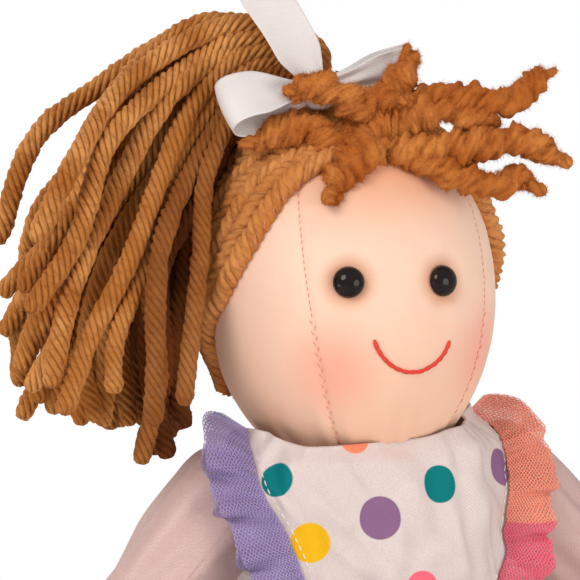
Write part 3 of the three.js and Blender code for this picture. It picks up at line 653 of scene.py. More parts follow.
def seam_threads():
    """Running stitches down both face seams, which zigzag below the cheeks."""
    made = []
    for side in (-1, 1):
        height = 46.0
        k = 0
        while height > -52:
            az = side * seam_az(height)
            low = height < -8
            shift = (1.1 if k % 2 else -1.1) if low else 0.0
            a, n = on_head(az + shift, height, 0.12)
            b, _ = on_head(az + shift * (1 if not low else 0.2), height - 1.3, 0.12)
            made.append(capsule(a, b, 0.17, n, 0.8, sides=6, steps=4, belly=0.05))
            height -= 2.1 if not low else 1.7
            k += 1
    stitches("seam_stitches", made, THREAD_PINK, "skin_cloth", "head")


def eye_material():
    m = Nodes("eye gloss", (0.004, 0.003, 0.003), 0.05, Coat_Weight=0.12, Coat_Roughness=0.02,
              Specular_IOR_Level=0.14)
    m.color(m.blend(m.ramp(m.noise(200, 2), 0.3, 0.7), (0.006, 0.005, 0.005), (0.012, 0.007, 0.006)))
    return m.material


def dress_cad(node, material, subdivide=0):
    """Gives a CAD node that stays in view its material and a smooth surface."""
    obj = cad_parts[node]
    obj.data.materials.clear()
    obj.data.materials.append(material)
    obj.data.shade_smooth()
    if subdivide:
        mod = obj.modifiers.new("round", "SUBSURF")
        mod.levels = mod.render_levels = subdivide


EYE = eye_material()
EYE_RADIUS = 4.95


def domed_eye(name, az, height):
    n = head_normal(az, height)
    c = head_point(az, height) - n * 1.15
    x = n.orthogonal().normalized()
    y = n.cross(x)
    rings = []
    for k in range(20):
        a = k / 19 * pi / 2 * 0.985
        r, h = EYE_RADIUS * cos(a), 0.9 + 3.7 * sin(a)
        rings.append([c + x * (r * cos(w)) + y * (r * sin(w)) + n * h for w in turns(48)])
    back = [c + (p - c - n * 0.9) * 0.9 - n * 0.1 for p in rings[0]]
    obj = loft(name + "_dome", [back, *rings], EYE, "eye")
    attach(obj, "head")
    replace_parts(obj, name)


# hair
HAIRLINE = [(0, 44), (25, 42), (45, 35), (63, 16), (78, 2), (95, -9), (112, -28), (140, -35), (180, -38)]
SIDEWAYS = -102  # direction in which the ponytail stands off
KNOT = compass(SIDEWAYS, 8.0)


def hair_base():
    def fn(u, v):
        az = u * 360 - 180
        edge = acos(table(HAIRLINE, abs(az)) / HEAD_H) - 0.03
        polar = edge * (1 - v) + 0.002
        grow = mix(0.5, 2.2, smooth(v * 6))
        r = (HEAD_R + grow) * sin(polar)
        return compass(az, r, HEAD_Z + (HEAD_H + grow) * cos(polar))

    # a near-black sheet under the cap yarn: painted shade that shows in the gaps between the rows
    m = plain("hair shade sheet", (0.10, 0.035, 0.01), 0.95)
    obj = shell("hair_shade_sheet", fn, 120, 40, m, "yarn", round_u=True, thick=0.3)
    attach(obj, "head")


# The cap's yarn runs up along the face and, further back, up the back of the head: direction and height.
CAP_EDGE = [(112, -28), (95, -9), (78, 2), (63, 16), (45, 35), (25, 42), (7, 46), (1, 57)]
CAP_BACK = [(180, -38), (180, -24), (180, -10), (180, 6), (180, 24), (180, 38), (180, 49), (180, 57)]
CAP_ROWS, CAP_YARN_RADIUS = 14, 3.4


def cap_yarns():
    """Rows of yarn beside each other from the face round to the back, gathered under the ponytail."""
    yarn = YarnMesh()
    gathered = KNOT + Vector((0, 0, HEAD_Z + 64))
    for side in (-1, 1):
        for k in range(CAP_ROWS):
            f = (k + 0.5) / CAP_ROWS
            path = []
            for (az_a, h_a), (az_b, h_b) in zip(CAP_EDGE, CAP_BACK):
                lift = 1.7 + uniform(-0.3, 0.3)
                path.append(head_point(side * mix(az_a, az_b, f), mix(h_a, h_b, f), lift))
            path.append(gathered + Vector((uniform(-3, 3), uniform(-3, 3), 0)))
            yarn.strand(path, CAP_YARN_RADIUS, plies=4, pitch=14 if k % 2 else -14, step=0.8, depth=0.32,
                        rough=0.1, lumps=0.12, fuzz=int(260 * FUZZ), fuzz_length=1.2,
                        swell=lambda s: mix(0.7, 1.0, smooth(s * 4)))
    obj = yarn.make("hair_cap_yarn", CAP_YARN, "yarn")
    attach(obj, "head")
    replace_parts(obj, "hair_cap")


# Ponytail: key strands, from the inmost to the outmost: distance from the head's axis and height.
CLOSE = [(8, 66), (14, 69), (26, 59), (43.5, 37), (53, 12), (57, -14), (56, -38)]
INNER = [(8, 66), (14, 71), (32, 63), (51, 40), (63, 10), (69, -20), (69, -46)]
CENTRE = [(8, 66), (14, 77), (35, 75), (61, 53), (84, 18), (99, -9), (108, -29)]
OUTER = [(8, 66), (5, 79), (26, 88), (47, 87), (74, 75), (96, 48), (111, 20)]
SPREAD = [0, 0.12, 0.35, 0.65, 0.9, 1, 1]
# Locks: place beside the tie, direction of the inmost and the outmost strands, number of the lowest strand.
LOCKS = {"front": (5.4, -84, -96, -2), "middle": (0, -113, -104, -5), "back": (-5.4, -134, -112, 0)}
STRANDS = 12
STRAND_RADIUS = (2.8, 3.35)


def fan(side, az_in, az_out, s, turn):
    """Path of one strand: s is below 0 against the head and 1 on top, turn is degrees off its lock."""
    near, far = ((CLOSE, INNER), (INNER, CENTRE), (CENTRE, OUTER))[int(clamp(s * 2 + 1, 0, 2.99))]
    t = (s * 2 + 1) % 1 if s < 1 else 1
    az = mix(az_in, az_out, max(s, 0)) + turn
    path = []
    for k, f in enumerate(SPREAD):
        reach, height = mix(near[k][0], far[k][0], t), mix(near[k][1], far[k][1], t)
        p = compass(mix(SIDEWAYS, az, f), reach) + compass(SIDEWAYS + 90, side * (1 - f))
        path.append(p + Vector((0, 0, HEAD_Z + height)) + gauss_vector() * (2.8 * f))
    end = path[-1] - path[-2]
    path[-1] += end.normalized() * uniform(-9, 3)
    return path


def ponytail():
    for name, (side, az_in, az_out, lowest) in LOCKS.items():
        yarn = YarnMesh()
        for k in range(lowest, STRANDS):
            s = min((k + 0.5) / STRANDS + uniform(-0.03, 0.03), 1)
            turn = (7 if k % 2 else -7) + uniform(-4, 4)
            path = fan(side, az_in, az_out, s, turn)
            # strands low in the fan, next to the head, get painted shade
            yarn.strand(path, uniform(*STRAND_RADIUS), plies=6, pitch=-19, sides=24,
                        step=0.9, depth=0.27, rough=0.11, lumps=0.14,
                        fuzz=int(220 * FUZZ), fuzz_length=1.1, shade=1.8 * smooth((0.5 - s) / 0.7))
        obj = yarn.make(f"ponytail_{name}_strands", YARN, "yarn")
        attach(obj, "ponytail")
        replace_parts(obj, f"ponytail_{name}_lock")


# Fringe: thick soft strands, as places across, up and nearness from the head's middle, and a radius.
FRINGE_STRANDS = [
    ([(-5, 34, 36), (3, 42, 33), (13, 51, 31), (26, 58, 31), (41, 56, 34), (53, 55, 34), (60, 60, 32),
      (65, 64, 31)], 4.4),
    ([(6, 47, 28), (17, 43, 33), (38, 42.5, 35), (55, 42.5, 34), (62, 39.5, 32), (68, 36.5, 31)], 4.6),
    ([(12, 44, 29), (24, 39, 34), (38, 33, 35), (48, 30, 34), (54, 31, 32), (60, 30, 31)], 3.9),
    ([(5, 47, 28), (14, 56, 30), (19, 64, 31), (24, 72, 32)], 4.3),
    ([(12, 47, 29), (5, 57, 34), (-2, 63, 37), (-8, 65, 38), (-13, 64, 38)], 4.2),
    ([(8, 46, 29), (-1, 47, 34), (-11, 52, 33.5), (-21, 51, 33), (-29, 48, 34)], 4.4),
    ([(10, 50, 28), (5, 42, 36), (-1, 35, 40), (-5, 29, 43)], 5.0),
    ([(8, 44, 31), (18, 50, 32), (30, 54, 34), (42, 52, 35), (48, 52, 34)], 4.3),
    ([(4, 50, 27), (9, 57, 32), (15, 60, 34), (21, 57, 35)], 4.0),
]


def fringe():
    yarn = YarnMesh()
    for places, radius in FRINGE_STRANDS:
        path = [seen(*place) + shaken(0.8) for place in places]
        yarn.strand(path, radius * 1.13, plies=2, pitch=-19.0, sides=24, step=0.6, depth=0.16, rough=0.08,
                    lumps=0.45, fuzz=int(6500 * FUZZ), fuzz_length=1.25, cloud=0.42,
                    swell=lambda s: 0.8 + 0.22 * sin(pi * clamp(s * 1.1)))
        along = (path[-1] - path[-2]).normalized()
        for _ in range(4):
            spread = shaken(3.4)
            tip = path[-1] + along * uniform(0.5, 3.0) + spread
            tuft = [path[-1] - along * 5, path[-1] - along * 1.5 + spread * 0.5, tip]
            yarn.strand(tuft, 1.9, plies=2, sides=12, step=0.6, rough=0.1, lumps=0.4, cloud=0.3,
                        fuzz=int(420 * FUZZ), fuzz_length=1.2)
    obj = yarn.make("fringe_strands", FRINGE, "yarn")
    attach(obj, "head")
    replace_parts(obj, "fringe")


def hairline_stitches():
    made = []
    for k in range(46):
        az = -84 + 168 * k / 45
        h = table(HAIRLINE, abs(az))
        p = head_point(az, h - 1.2, 0.3)
        q = head_point(az + 0.8, h + 1.6, 3.8)
        made.append(capsule(p, q, 0.16, head_normal(az, h), 0.8, sides=6, steps=5, belly=1.2))
    stitches("hairline_stitches", made, THREAD_PINK, "yarn", "head")


# bow
BOW = head_point(-36.6, 57, 4.9) + head_normal(-36.6, 57) * 7
BOW_TURN = radians(6)
BOW_ACROSS = (cos(BOW_TURN), 0, -sin(BOW_TURN))
BOW_AXES = Matrix((BOW_ACROSS, (-sin(BOW_TURN), 0, -cos(BOW_TURN)), (0, 1, 0)))


def bow_point(x, y, z):
    return BOW + BOW_AXES @ Vector((x, y, z))


def ribbon_loop(name, sign, length, drop, roll, node, width, depth):
    """A band that leaves the knot, swells into a loop and comes back behind itself."""
    turn = Matrix.Rotation(radians(drop), 3, "Z") @ Matrix.Rotation(radians(roll), 3, "X")

    def fn(u, v):
        a = 2 * pi * v
        out = 0.5 - 0.5 * cos(a)
        x = sign * (1.5 + length * out**0.8)
        z = depth * sin(a) * (0.3 + 0.7 * out)
        w = (u - 0.5) * mix(6.0, width, smooth(out * 1.6))
        pleat = 0.9 * cos(u * 4 * pi + v * 3) * (1 - smooth(out * 1.5))
        crease = 0.5 * sin(u * 8 + v * 11 + sign) * bump(out, 0.55, 0.3)
        bow_out = -0.9 * sign * (2 * u - 1) ** 2 * out
        return bow_point(*(turn @ Vector((x + bow_out, w, z + pleat + crease))))

    obj = shell(name, fn, 28, 90, RIBBON, "ribbon", cloth=(0.012, 0.07), thick=0.3, inward=0)
    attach(obj, "head")
    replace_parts(obj, node)


def bow_knot():
    def fn(u, v):
        a, b = 2 * pi * u, pi * (v - 0.5)
        wrap = 1 + 0.07 * cos(7 * b + 1.5 * sin(a)) + 0.04 * sin(3 * a)
        r = wrap * cos(b) ** 0.7
        return bow_point(5.6 * r * cos(a), 5.6 * sin(b) * 1.1, 5.0 * r * sin(a))

    obj = shell("bow_knot_wrap", fn, 48, 30, RIBBON, "ribbon", round_u=True, cloth=(0.03, 0.012), thick=0)
    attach(obj, "head")
    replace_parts(obj, "bow_knot")


def ribbon_tail(name, path, node, width, slant, curl):
    """A flat ribbon along a path from the knot, with its end cut at a slant."""
    line = catmull(path, 0.8)
    n = len(line) - 1

    def fn(u, v):
        k = min(n, int(v * n))
        f = v * n - k
        p = line[k].lerp(line[min(n, k + 1)], f)
        t = (line[min(n, k + 1)] - line[max(0, k - 1)]).normalized()
        side = Vector((t.y, -t.x, 0)).normalized()
        out = side.cross(t).normalized()
        w = (u - 0.5) * width * mix(0.55, 1.0, smooth(v * 3.5))
        q = p + side * w + out * (curl * (u - 0.5) ** 2 * 4 + 0.5 * sin(v * 7 + u * 2))
        q += out * 0.8 * cos(u * 3 * pi) * (1 - smooth(v * 3))
        q += t * (slant * w * smooth((v - 0.8) * 5))
        return bow_point(*q)

    obj = shell(name, fn, 24, 70, RIBBON, "ribbon", cloth=(0.012, 0.05), thick=0.3, inward=0)
    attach(obj, "head")
    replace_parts(obj, node)


# dress
WAIST_Z, HEM_Z = 172.0, 96.0
LEG_X, HIP_Z = 20.0, 124.0
CHEST = HEAD_FOOT - WAIST_Z
BODICE = [(WAIST_Z + CHEST * f, a, b) for f, a, b in (
    (0.014, 36.8, 27.8), (0.26, 41, 31), (0.52, 45.8, 34), (0.72, 47.4, 33.4),
    (0.87, 46.9, 31.6), (0.98, 44.6, 30.2), (1.11, 40.6, 28.6))]


def wall(az, z, grow):
    """Point of the bodice's plain outline, set out by grow."""
    return around(az, z, table(BODICE, z, 1) + grow, table(BODICE, z, 2) + grow)


BIB_FOOT, BIB_TOP, COLOR_CHANGE = WAIST_Z + 4, HEAD_FOOT + 9, WAIST_Z + 42
BIB_EDGE = [(BIB_FOOT, 33)] + [(WAIST_Z + CHEST * f, az) for f, az in (
    (0.2, 38.5), (0.39, 45), (0.55, 47.5), (0.69, 52), (0.81, 58), (0.97, 68), (1.11, 80))]


def from_photo(px, py):
    """Point of the bodice that lies at a place in the picture, in dots from its upper left."""
    near, grow, half = 32.0, 1.6, PICTURE / 2
    for _ in range(3):
        closer = 1 - near * 0.001
        dx, dy = (px - half) * closer - AIM[0], (half - py) * closer - AIM[1]
        u = (dx * cos(ROLL) + dy * sin(ROLL)) * DOT
        z = HEAD_Z + (dy * cos(ROLL) - dx * sin(ROLL)) * DOT
        fits = [(abs(wall(k / 5, z, grow).dot(compass(90 - YAW)) - u), k / 5) for k in range(-450, 451)]
        best = wall(min(fits)[1], z, grow)
        near = best.dot(compass(-YAW))
    return best


# Dots of the bodice front: place in the picture, radius and colour.
BIB_DOTS = [
    ((278, 480), 5.6, "teal"), ((310, 543), 6.4, "yellow"), ((380, 518), 6.9, "purple"),
    ((440, 484), 6.1, "teal"), ((501, 467), 6.3, "purple"), ((356, 436), 5.6, "coral"),
    ((512, 540), 6.2, "coral"), ((420, 590), 6.4, "pink"),
]
BIB_SATIN = satin_material("bib satin", WHITE_SATIN,
                           dots=[(from_photo(*place), r, DOT_COLORS[c]) for place, r, c in BIB_DOTS])
DOTTED = satin_material("dotted satin", WHITE_SATIN, field=0.006)
PINK_SATIN = satin_material("pink satin", PALE)


def neckline(az):
    """Height of the dress's upper edge: against the chin in front, higher at the shoulders."""
    side = abs(sin(radians(az))) ** 4
    behind = max(0.0, -cos(radians(az)))
    left = smooth((az - 2) / 30) * smooth((95 - az) / 25)
    return HEAD_FOOT + 2.2 + (7.0 - 11 * behind) * smooth(side) + 2.6 * left


def far_side(az):
    """How much the upper edge leans to the head there: only over the doll's left shoulder."""
    return smooth((az - 30) / 25) * smooth((100 - az) / 25)


# Upright folds of the bodice: direction at the upper edge and height.
FOLDS = ((10, 0.9), (29, 0.6), (41, 0.8), (50, 0.9), (-38, 0.7), (64, 0.8), (-14, 0.5))


def bodice_surface(az, z, grow):
    """Point of the dress's cloth, with its folds, leaning to the neck at its upper edge."""
    edge = neckline(az)
    side = smooth(abs(sin(radians(az))) ** 4)
    lean = 2.4 * smooth((z - edge + 7) / 7) * (1 - side) + 5.0 * smooth((z - edge + 12) / 12) * far_side(az)
    shoulder = smooth((abs(az) - 100) / 25) * smooth((180 - abs(az)) / 25)
    lean += (7.0 * smooth((z - edge + 18) / 18) + 8.0 * smooth((z - edge + 4) / 4)) * shoulder
    p = wall(az, z, grow - lean)
    near_top = smooth((z - edge + 16) / 16)
    fold = 0.3 * sin(radians(az) * 17 + 0.15 * z) * near_top
    for spot, size in FOLDS:
        fold += size * bump(az + 0.4 * (edge - z), spot, 3.4) * near_top
    fold += 1.9 * wobble((az * 0.055, z * 0.06, 0), 1.0, 4) + 1.0 * wobble((az * 0.12, z * 0.1, 0), 1.0, 8)
    fold += 0.7 * bump(wobble((az * 0.05 + 0.03 * z, z * 0.03, 0), 1.0, 14), 0.0, 0.10)
    n = outward(p)
    return p + n * (fold * smooth((181 - abs(az)) / 16))


def bodice(name, node, start, end, material, columns):
    def fn(u, v):
        az = mix(start, end, u)
        return bodice_surface(az, mix(WAIST_Z, neckline(az), v), 1.7)

    obj = shell(name, fn, columns, 90, material, "dotted_satin", cloth=((end - start) * 0.0008, 0.071),
                thick=0.8)
    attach(obj, "torso")
    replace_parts(obj, node)


def topstitching():
    """Rows of short white stitches just inside the ruffles."""
    made = []
    for side in (-1, 1):
        z = BIB_FOOT + 2
        while z < HEAD_FOOT:
            ends = []
            for height in (z, z + 1.7):
                az = side * (table(BIB_EDGE, height) - 3.4)
                ends.append(bodice_surface(az, height, 1.75))
            made.append(capsule(*ends, 0.24, outward(ends[0]), 0.7, sides=6, steps=4, belly=0.14))
            z += 2.6
    stitches("bib_topstitch", made, THREAD_WHITE, "dotted_satin", "torso")


PLEAT = 12.5  # length of seam that one wave of a ruffle takes


def ruffle(color, side, low, high, wide, seed, lively=1.0):
    """Gathered net: tight small pleats at the seam that open into soft waves at the free edge."""
    length = high - low

    def fn(u, v, layer):
        z = mix(low, high, u)
        seam = bodice_surface(side * table(BIB_EDGE, z), z, 2.2)
        f = (z - BIB_FOOT) / (BIB_TOP - BIB_FOOT)
        top = smooth((f - 0.72) / 0.28)
        out = Vector((side, -0.12, mix(-0.3, 0.25, f) + 0.5 * top)).normalized()
        k = z / PLEAT + 0.4 * wobble((z * 0.07, seed, 0))
        scallop = sin(2 * pi * k + 0.9) + 0.4 * sin(4 * pi * k + 1.4)
        end = clamp((high - z) / 8 + 0.2) if high == BIB_TOP else 1.0
        round_end = sqrt(1 - (1 - end) ** 2)
        share = 1 - (0.22 * top if side > 0 else 0) + 0.08 * lively * scallop
        share += 0.04 * wobble((z * 0.12, seed, layer))
        reach = wide * share * round_end
        soft = 1.25 * sin(2 * pi * k + layer * 0.8) + 0.5 * sin(4 * pi * k + 0.5 + layer)
        small = sin(2 * pi * k * 2.7 + seed)
        gather = 0.45 * sin(2 * pi * k * 4.3) * (1 - v) ** 2 * smooth(v * 8)
        wave = soft * 1.9 * lively * smooth(v * 0.9) + small * 0.35 * sin(pi * v * 0.6) + gather
        curl = 2.2 * v * v * wobble((z * 0.1, seed + 5, layer))
        down = -1.2 * cos(2 * pi * k) * v
        return seam + out * (reach * v) + Vector((0, -wave - 0.7 * layer - curl, down))

    parts, uvs = [], []
    for layer in (0, 1):
        size = 1 - 0.06 * layer
        verts, faces, flat = grid(lambda u, v: fn(u, v * size, layer), int(length * 3), 24,
                                  cloth=(length * 0.0016, 0.019))
        parts.append((verts, faces))
        uvs += [(u, v + layer) for u, v in flat]
    obj = build(f"{color}_net_ruffle", *joined(parts), NET[color], f"{color}_tulle", uvs)
    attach(obj, "torso")
    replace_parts(obj, f"{color}_ruffle")


TULLE = {
    "purple": (0.36, 0.28, 0.54),
    "blue": (0.12, 0.32, 0.70),
    "green": (0.18, 0.56, 0.24),
    "yellow": (0.90, 0.68, 0.08),
    "coral": (0.88, 0.28, 0.19),
    "pink": (0.84, 0.13, 0.20),
}
NET = {name: tulle_material(f"{name} net", color) for name, color in TULLE.items()}


def skirt_point(az, v, offset, depth, folds, seed, hem):
    """Point of a skirt: v runs down from the waist, depth is how far its folds stand out at the hem."""
    z = mix(WAIST_Z - 6.5, hem, v)
    flare = sin(radians(v * 90 + 4)) * 27
    a = radians(az)
    own = min(1, 3 * abs(sin(a)))
    shift = 1.3 * wobble((abs(az) * 0.02, 3, 0)) + own * wobble((az * 0.05, seed, 0))
    wave = cos(a * folds + shift * copysign(1, az)) * depth * v**1.2
    wave += own * 0.6 * cos(a * folds * 2.3 + seed) * depth * 0.3 * v
    gather = own * 0.5 * sin(a * 46 + seed) * (1 - v) ** 2
    size = offset + flare + wave + gather
    return around(az, z + 0.8 * sin(a * folds) * v, 37.2 + size, 28.2 + size, mix(2.3, 2, v))


def leg_blend(obj, side):
    """Bakes a skirt's placement into its mesh; the line of the leg below it is worked out but not used."""
    x = side * LEG_X
    point((x, 0, 171))
    point((x, -29, 66))
    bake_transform(obj)


def skirts():
    for name, side in SIDES:
        def fn(u, v, side=side):
            return skirt_point(side * mix(0.06, 179.94, u), v, -0.4, 3.0, 10, 1.0 + side, HEM_Z)

        obj = shell(f"skirt_{name}_satin", fn, 200, 50, DOTTED, "dotted_satin",
                    cloth=(0.165, 0.08), thick=0.4)
        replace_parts(obj, f"skirt_{name}_half")
        leg_blend(obj, side)
    for k, color in enumerate(TULLE):
        side, index = (-1, k) if k < 3 else (1, k - 3)

        def fn(u, v, side=side, index=index):
            az = side * mix(0.06 + index * 60, 59.94 + index * 60, u)
            return skirt_point(az, v, 3.0 + 4.0 * v, 2.4, 16, 5.0 + side, HEM_Z - 6)

        obj = shell(f"tulle_{color}_net", fn, 110, 40, NET[color], f"{color}_tulle",
                    cloth=(0.075, 0.085), thick=0)
        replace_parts(obj, f"tulle_{color}")
        leg_blend(obj, side)


def waistband():
    def fn(u, v):
        az = u * 360
        z = mix(WAIST_Z - 7.5, WAIST_Z + 0.6, v)
        belly = 0.9 * sin(pi * v)
        return around(az, z, 39.2 + belly, 30.2 + belly)

    obj = shell("waistband_satin", fn, 140, 10, PINK_SATIN, "pink_satin", round_u=True,
                cloth=(0.24, 0.008), thick=0.8)
    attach(obj, "torso")
    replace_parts(obj, "waistband")


TAPE_FOOT, TAPE_TOP = 186, 226


def tapes():
    """The closure's two tapes, on either side of the slit in the back, each sewn along both edges."""
    for name, side in (("hook", -1), ("loop", 1)):
        def fn(u, v, side=side):
            return bodice_surface(-side * (180 - mix(2.5, 11, u)), mix(TAPE_FOOT, TAPE_TOP, v), 2.5)

        m = plain(f"closure {name}", (0.80, 0.78, 0.78), 0.9)
        obj = shell(f"closure_{name}_strip", fn, 8, 30, m, "closure", thick=0.7)
        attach(obj, "torso")
        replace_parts(obj, f"closure_{name}_tape")
        made = []
        for edge in (3.4, 10.1):
            for z in range(TAPE_FOOT + 1, TAPE_TOP - 1, 3):
                ends = [bodice_surface(-side * (180 - edge), z + step, 3.0) for step in (0, 2)]
                made.append(capsule(*ends, 0.22, outward(ends[0]), 0.7, sides=6, steps=4, belly=0.12))
        stitches(f"closure_{name}_stitches", made, THREAD_WHITE, "closure", "torso")


# limbs and torso
SIDES = (("right", -1), ("left", 1))
TORSO = [(125.85, 18, 5), (131, 32, 11.5), (136, 37, 16.5), (142, 39, 21.5), (152, 39.5, 27),
         (162, 38.5, 28.5), (172, 36, 27), (190, 39.5, 29.5), (208, 44, 32), (222, 45, 31), (232, 42, 27),
         (237, 33, 21)]


def stuffed(name, rings, body):
    """A piece of body cloth filled with stuffing."""
    obj = loft(name, rings, BODY, "skin_cloth")
    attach(obj, body)
    return obj


def torso():
    rings = []
    for k in range(61):
        z = mix(TORSO[0][0], TORSO[-1][0], k / 60)
        ring = []
        for i in range(96):
            az = i / 96 * 360
            p = around(az, z, table(TORSO, z, 1), table(TORSO, z, 2))
            seam = 0.5 * bump(abs((az % 180) - 90), 0, 1.6)
            n = outward(p)
            ring.append(p - n * (seam + 0.3 * wobble(p, 0.12, 2)))
        rings.append(ring)
    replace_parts(stuffed("torso_cloth", rings, "torso"), "torso")


SHOULDER = Vector((48.5, 0, 226))
ARM = [(9, 7.5, 6), (13, 10.5, 9.5), (24, 12, 11.5), (46, 10.8, 10.5), (64, 9.3, 9), (74, 11, 9),
       (81, 9.5, 7.5), (86, 3, 2.6)]
SLEEVE = [(-14, 12.5), (-11, 16.2), (-5, 17.9), (2, 18.2), (10, 18.0), (20, 17.4), (34, 16.2), (48, 14.8),
          (57, 12.5), (62, 11.2), (66, 12.6)]
THUMB = [(0, 3.2, 3.2), (4, 3.7, 3.7), (9, 3.4, 3.4), (12.5, 1.2, 1.2)]


def outside_bodice(p):
    """Lays a point of a sleeve on the bodice where it would be inside it."""
    a, b = table(BODICE, p.z, 1) + 2.9, table(BODICE, p.z, 2) + 2.9
    inside = hypot(p.x / a, p.y / b)
    return Vector((p.x / inside, p.y / inside, p.z)) if 0 < inside < 1 else p


def arm_frame(side):
    turn = Matrix.Rotation(side * -radians(45), 4, "Y")
    return Matrix.Translation((side * SHOULDER.x, 0, SHOULDER.z)) @ turn


def limb_rings(rows, place, steps=44, sides=40):
    """Rings down a limb, from rows of distance, half width and half depth, in the frame of its root."""
    rings = []
    first, last = rows[0][0], rows[-1][0]
    for k in range(steps + 1):
        t = mix(first, last, k / steps)
        a, b = table(rows, t, 1), table(rows, t, 2)
        ring = []
        for w in turns(sides):
            pull = 1 + 0.02 * wobble((cos(w) * 3, sin(w) * 3, t * 0.12), 1.0, 6)
            pull -= 0.03 * bump(abs(w - pi), 0, 0.12)
            ring.append(place @ Vector((sin(w) * a * pull, -cos(w) * b * pull, -t)))
        rings.append(ring)
    return rings


def arms():
    for name, side in SIDES:
        f = arm_frame(side)
        arm = stuffed(f"{name}_arm_cloth", limb_rings(ARM, f), f"{name}_arm")
        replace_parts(arm, f"{name}_arm")
        thumb_frame = f @ Matrix.Translation((0, -6.5, -65)) @ Matrix.Rotation(radians(-24), 4, "X")
        stuffed(f"{name}_thumb", limb_rings(THUMB, thumb_frame, 16, 24), f"{name}_arm")

        def fn(u, v, f=f, side=side):
            t = mix(SLEEVE[0][0], SLEEVE[-1][0], v)
            w = 2 * pi * u
            gather = smooth((6 - t) / 14) + smooth((t - 54) / 8)
            c = (cos(w) * 1.5, sin(w) * 1.5, 0)
            twist = w * 5 + t * 0.05 + 3.0 * wobble(c, 0.8, side)
            fold = 1.0 * sin(twist) * sin(pi * clamp(v)) ** 0.6
            fold += 1.3 * wobble((c[0] * 1.3, c[1] * 1.3, t * 0.05), 1.0, 3 + side)
            fold += 0.35 * sin(w * 17 + 3 * wobble(c, 2.0)) * gather * smooth((t + 14) / 6)
            cuff = 0.8 * sin(w * 16) * smooth((t - 62) / 4)
            r = table(SLEEVE, t, 1) + fold + cuff - 0.4
            puff = side * 1.5 * sin(pi * v) ** 0.5
            return outside_bodice(f @ Vector((sin(w) * r + puff, -cos(w) * r, -t)))

        obj = shell(f"{name}_sleeve_satin", fn, 150, 80, PINK_SATIN, "pink_satin", round_u=True,
                    cloth=(0.105, 0.062), thick=0.4)
        start, end = point(f @ Vector((0, 0, 8))), point(f @ Vector((0, 0, -14)))
        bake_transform(obj)
        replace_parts(obj, f"{name}_sleeve")
        dress_cad(f"{name}_shoulder_flap", BODY)


LEG = [(12, 7, 5), (20, 13, 12), (32, 15, 14.5), (60, 13.5, 13), (88, 12.2, 12), (106, 11, 11),
       (114, 10.5, 12), (119.5, 8, 9)]
SOLE = [(0, 12.6, 25.2), (0.5, 13.4, 25.9), (2.6, 13.5, 26), (3.0, 13.2, 25.7)]


def sole_ring(x, z, a, b):
    return [around(i / 64 * 360, z, a, b) + Vector((x, -5, 0)) for i in range(64)]


def legs():
    felt = plain("shoe felt", (0.80, 0.17, 0.36), 0.9, Sheen_Weight=0.5)
    sole = plain("sole felt", (0.82, 0.78, 0.75), 0.95)
    for name, side in SIDES:
        f = Matrix.Translation((side * LEG_X, 0, HIP_Z))
        leg = stuffed(f"{name}_leg_cloth", limb_rings(LEG, f), f"{name}_leg")
        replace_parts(leg, f"{name}_leg")
        x = side * LEG_X
        foot_rings = []
        for k in range(17):
            a = pi * (0.04 + 0.92 * k / 16)
            y, r = -8 - 20.6 * cos(a), sin(a)
            foot_rings.append([Vector((x + 10.6 * r * cos(w), y, 12.2 + 7.8 * r * sin(w)))
                               for w in turns(32)])
        stuffed(f"{name}_foot_cloth", foot_rings, f"{name}_leg")
        dress_cad(f"{name}_hip_flap", BODY)

        def fn(u, v, x=x):
            az = u * 360
            bulge = sin(pi / 2 * clamp(v * 1.25))
            inset = 1 - cos(pi / 2 * clamp(v * 1.25 - 0.25))
            a, b = mix(13.2, 11.9, v * v), mix(25.4, 23.6, v * v)
            p = around(az, 3.2 + 18.4 * bulge, a, b) + Vector((0, -5, 0))
            q = around(az, 21.4, 9.6, 14.5, 2.0) + Vector((0, -4.5, 0))
            r = p.lerp(q, smooth(inset) * 0.98)
            return r + Vector((x, 0, 0))

        shoe = shell(f"{name}_shoe_felt", fn, 96, 30, felt, "shoe_felt", round_u=True, thick=0.9)
        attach(shoe, f"{name}_leg")
        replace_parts(shoe, f"{name}_shoe")
        under = loft(f"{name}_sole_felt", [sole_ring(x, *row) for row in SOLE], sole, "sole_felt")
        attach(under, f"{name}_leg")
        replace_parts(under, f"{name}_sole")

        def strap(u, v, x=x):
            z = 20.8 + 3.6 * sin(u * pi) ** 0.7
            return Vector((x + mix(-11.2, 11.2, u), mix(-19, -13.4, v), z))

        strap_obj = shell(f"{name}_strap_felt", strap, 24, 6, felt, "shoe_felt", thick=1.1)
        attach(strap_obj, f"{name}_leg")
        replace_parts(strap_obj, f"{name}_shoe_strap")


FLOOR_RADIUS, FLOOR_Z = 1200.0, -0.2


def floor():
    """A round pale floor just under the soles."""
    rim = [point(compass(az, FLOOR_RADIUS, FLOOR_Z)) for az in range(0, 360, 5)]
    mesh = bpy.data.meshes.new("floor")
    mesh.from_pydata([tuple(p) for p in rim], [], [tuple(range(len(rim)))])
    mesh.materials.append(plain("pale floor", (0.86, 0.85, 0.84), 0.85))
    obj = bpy.data.objects.new("floor", mesh)
    bpy.context.scene.collection.objects.link(obj)


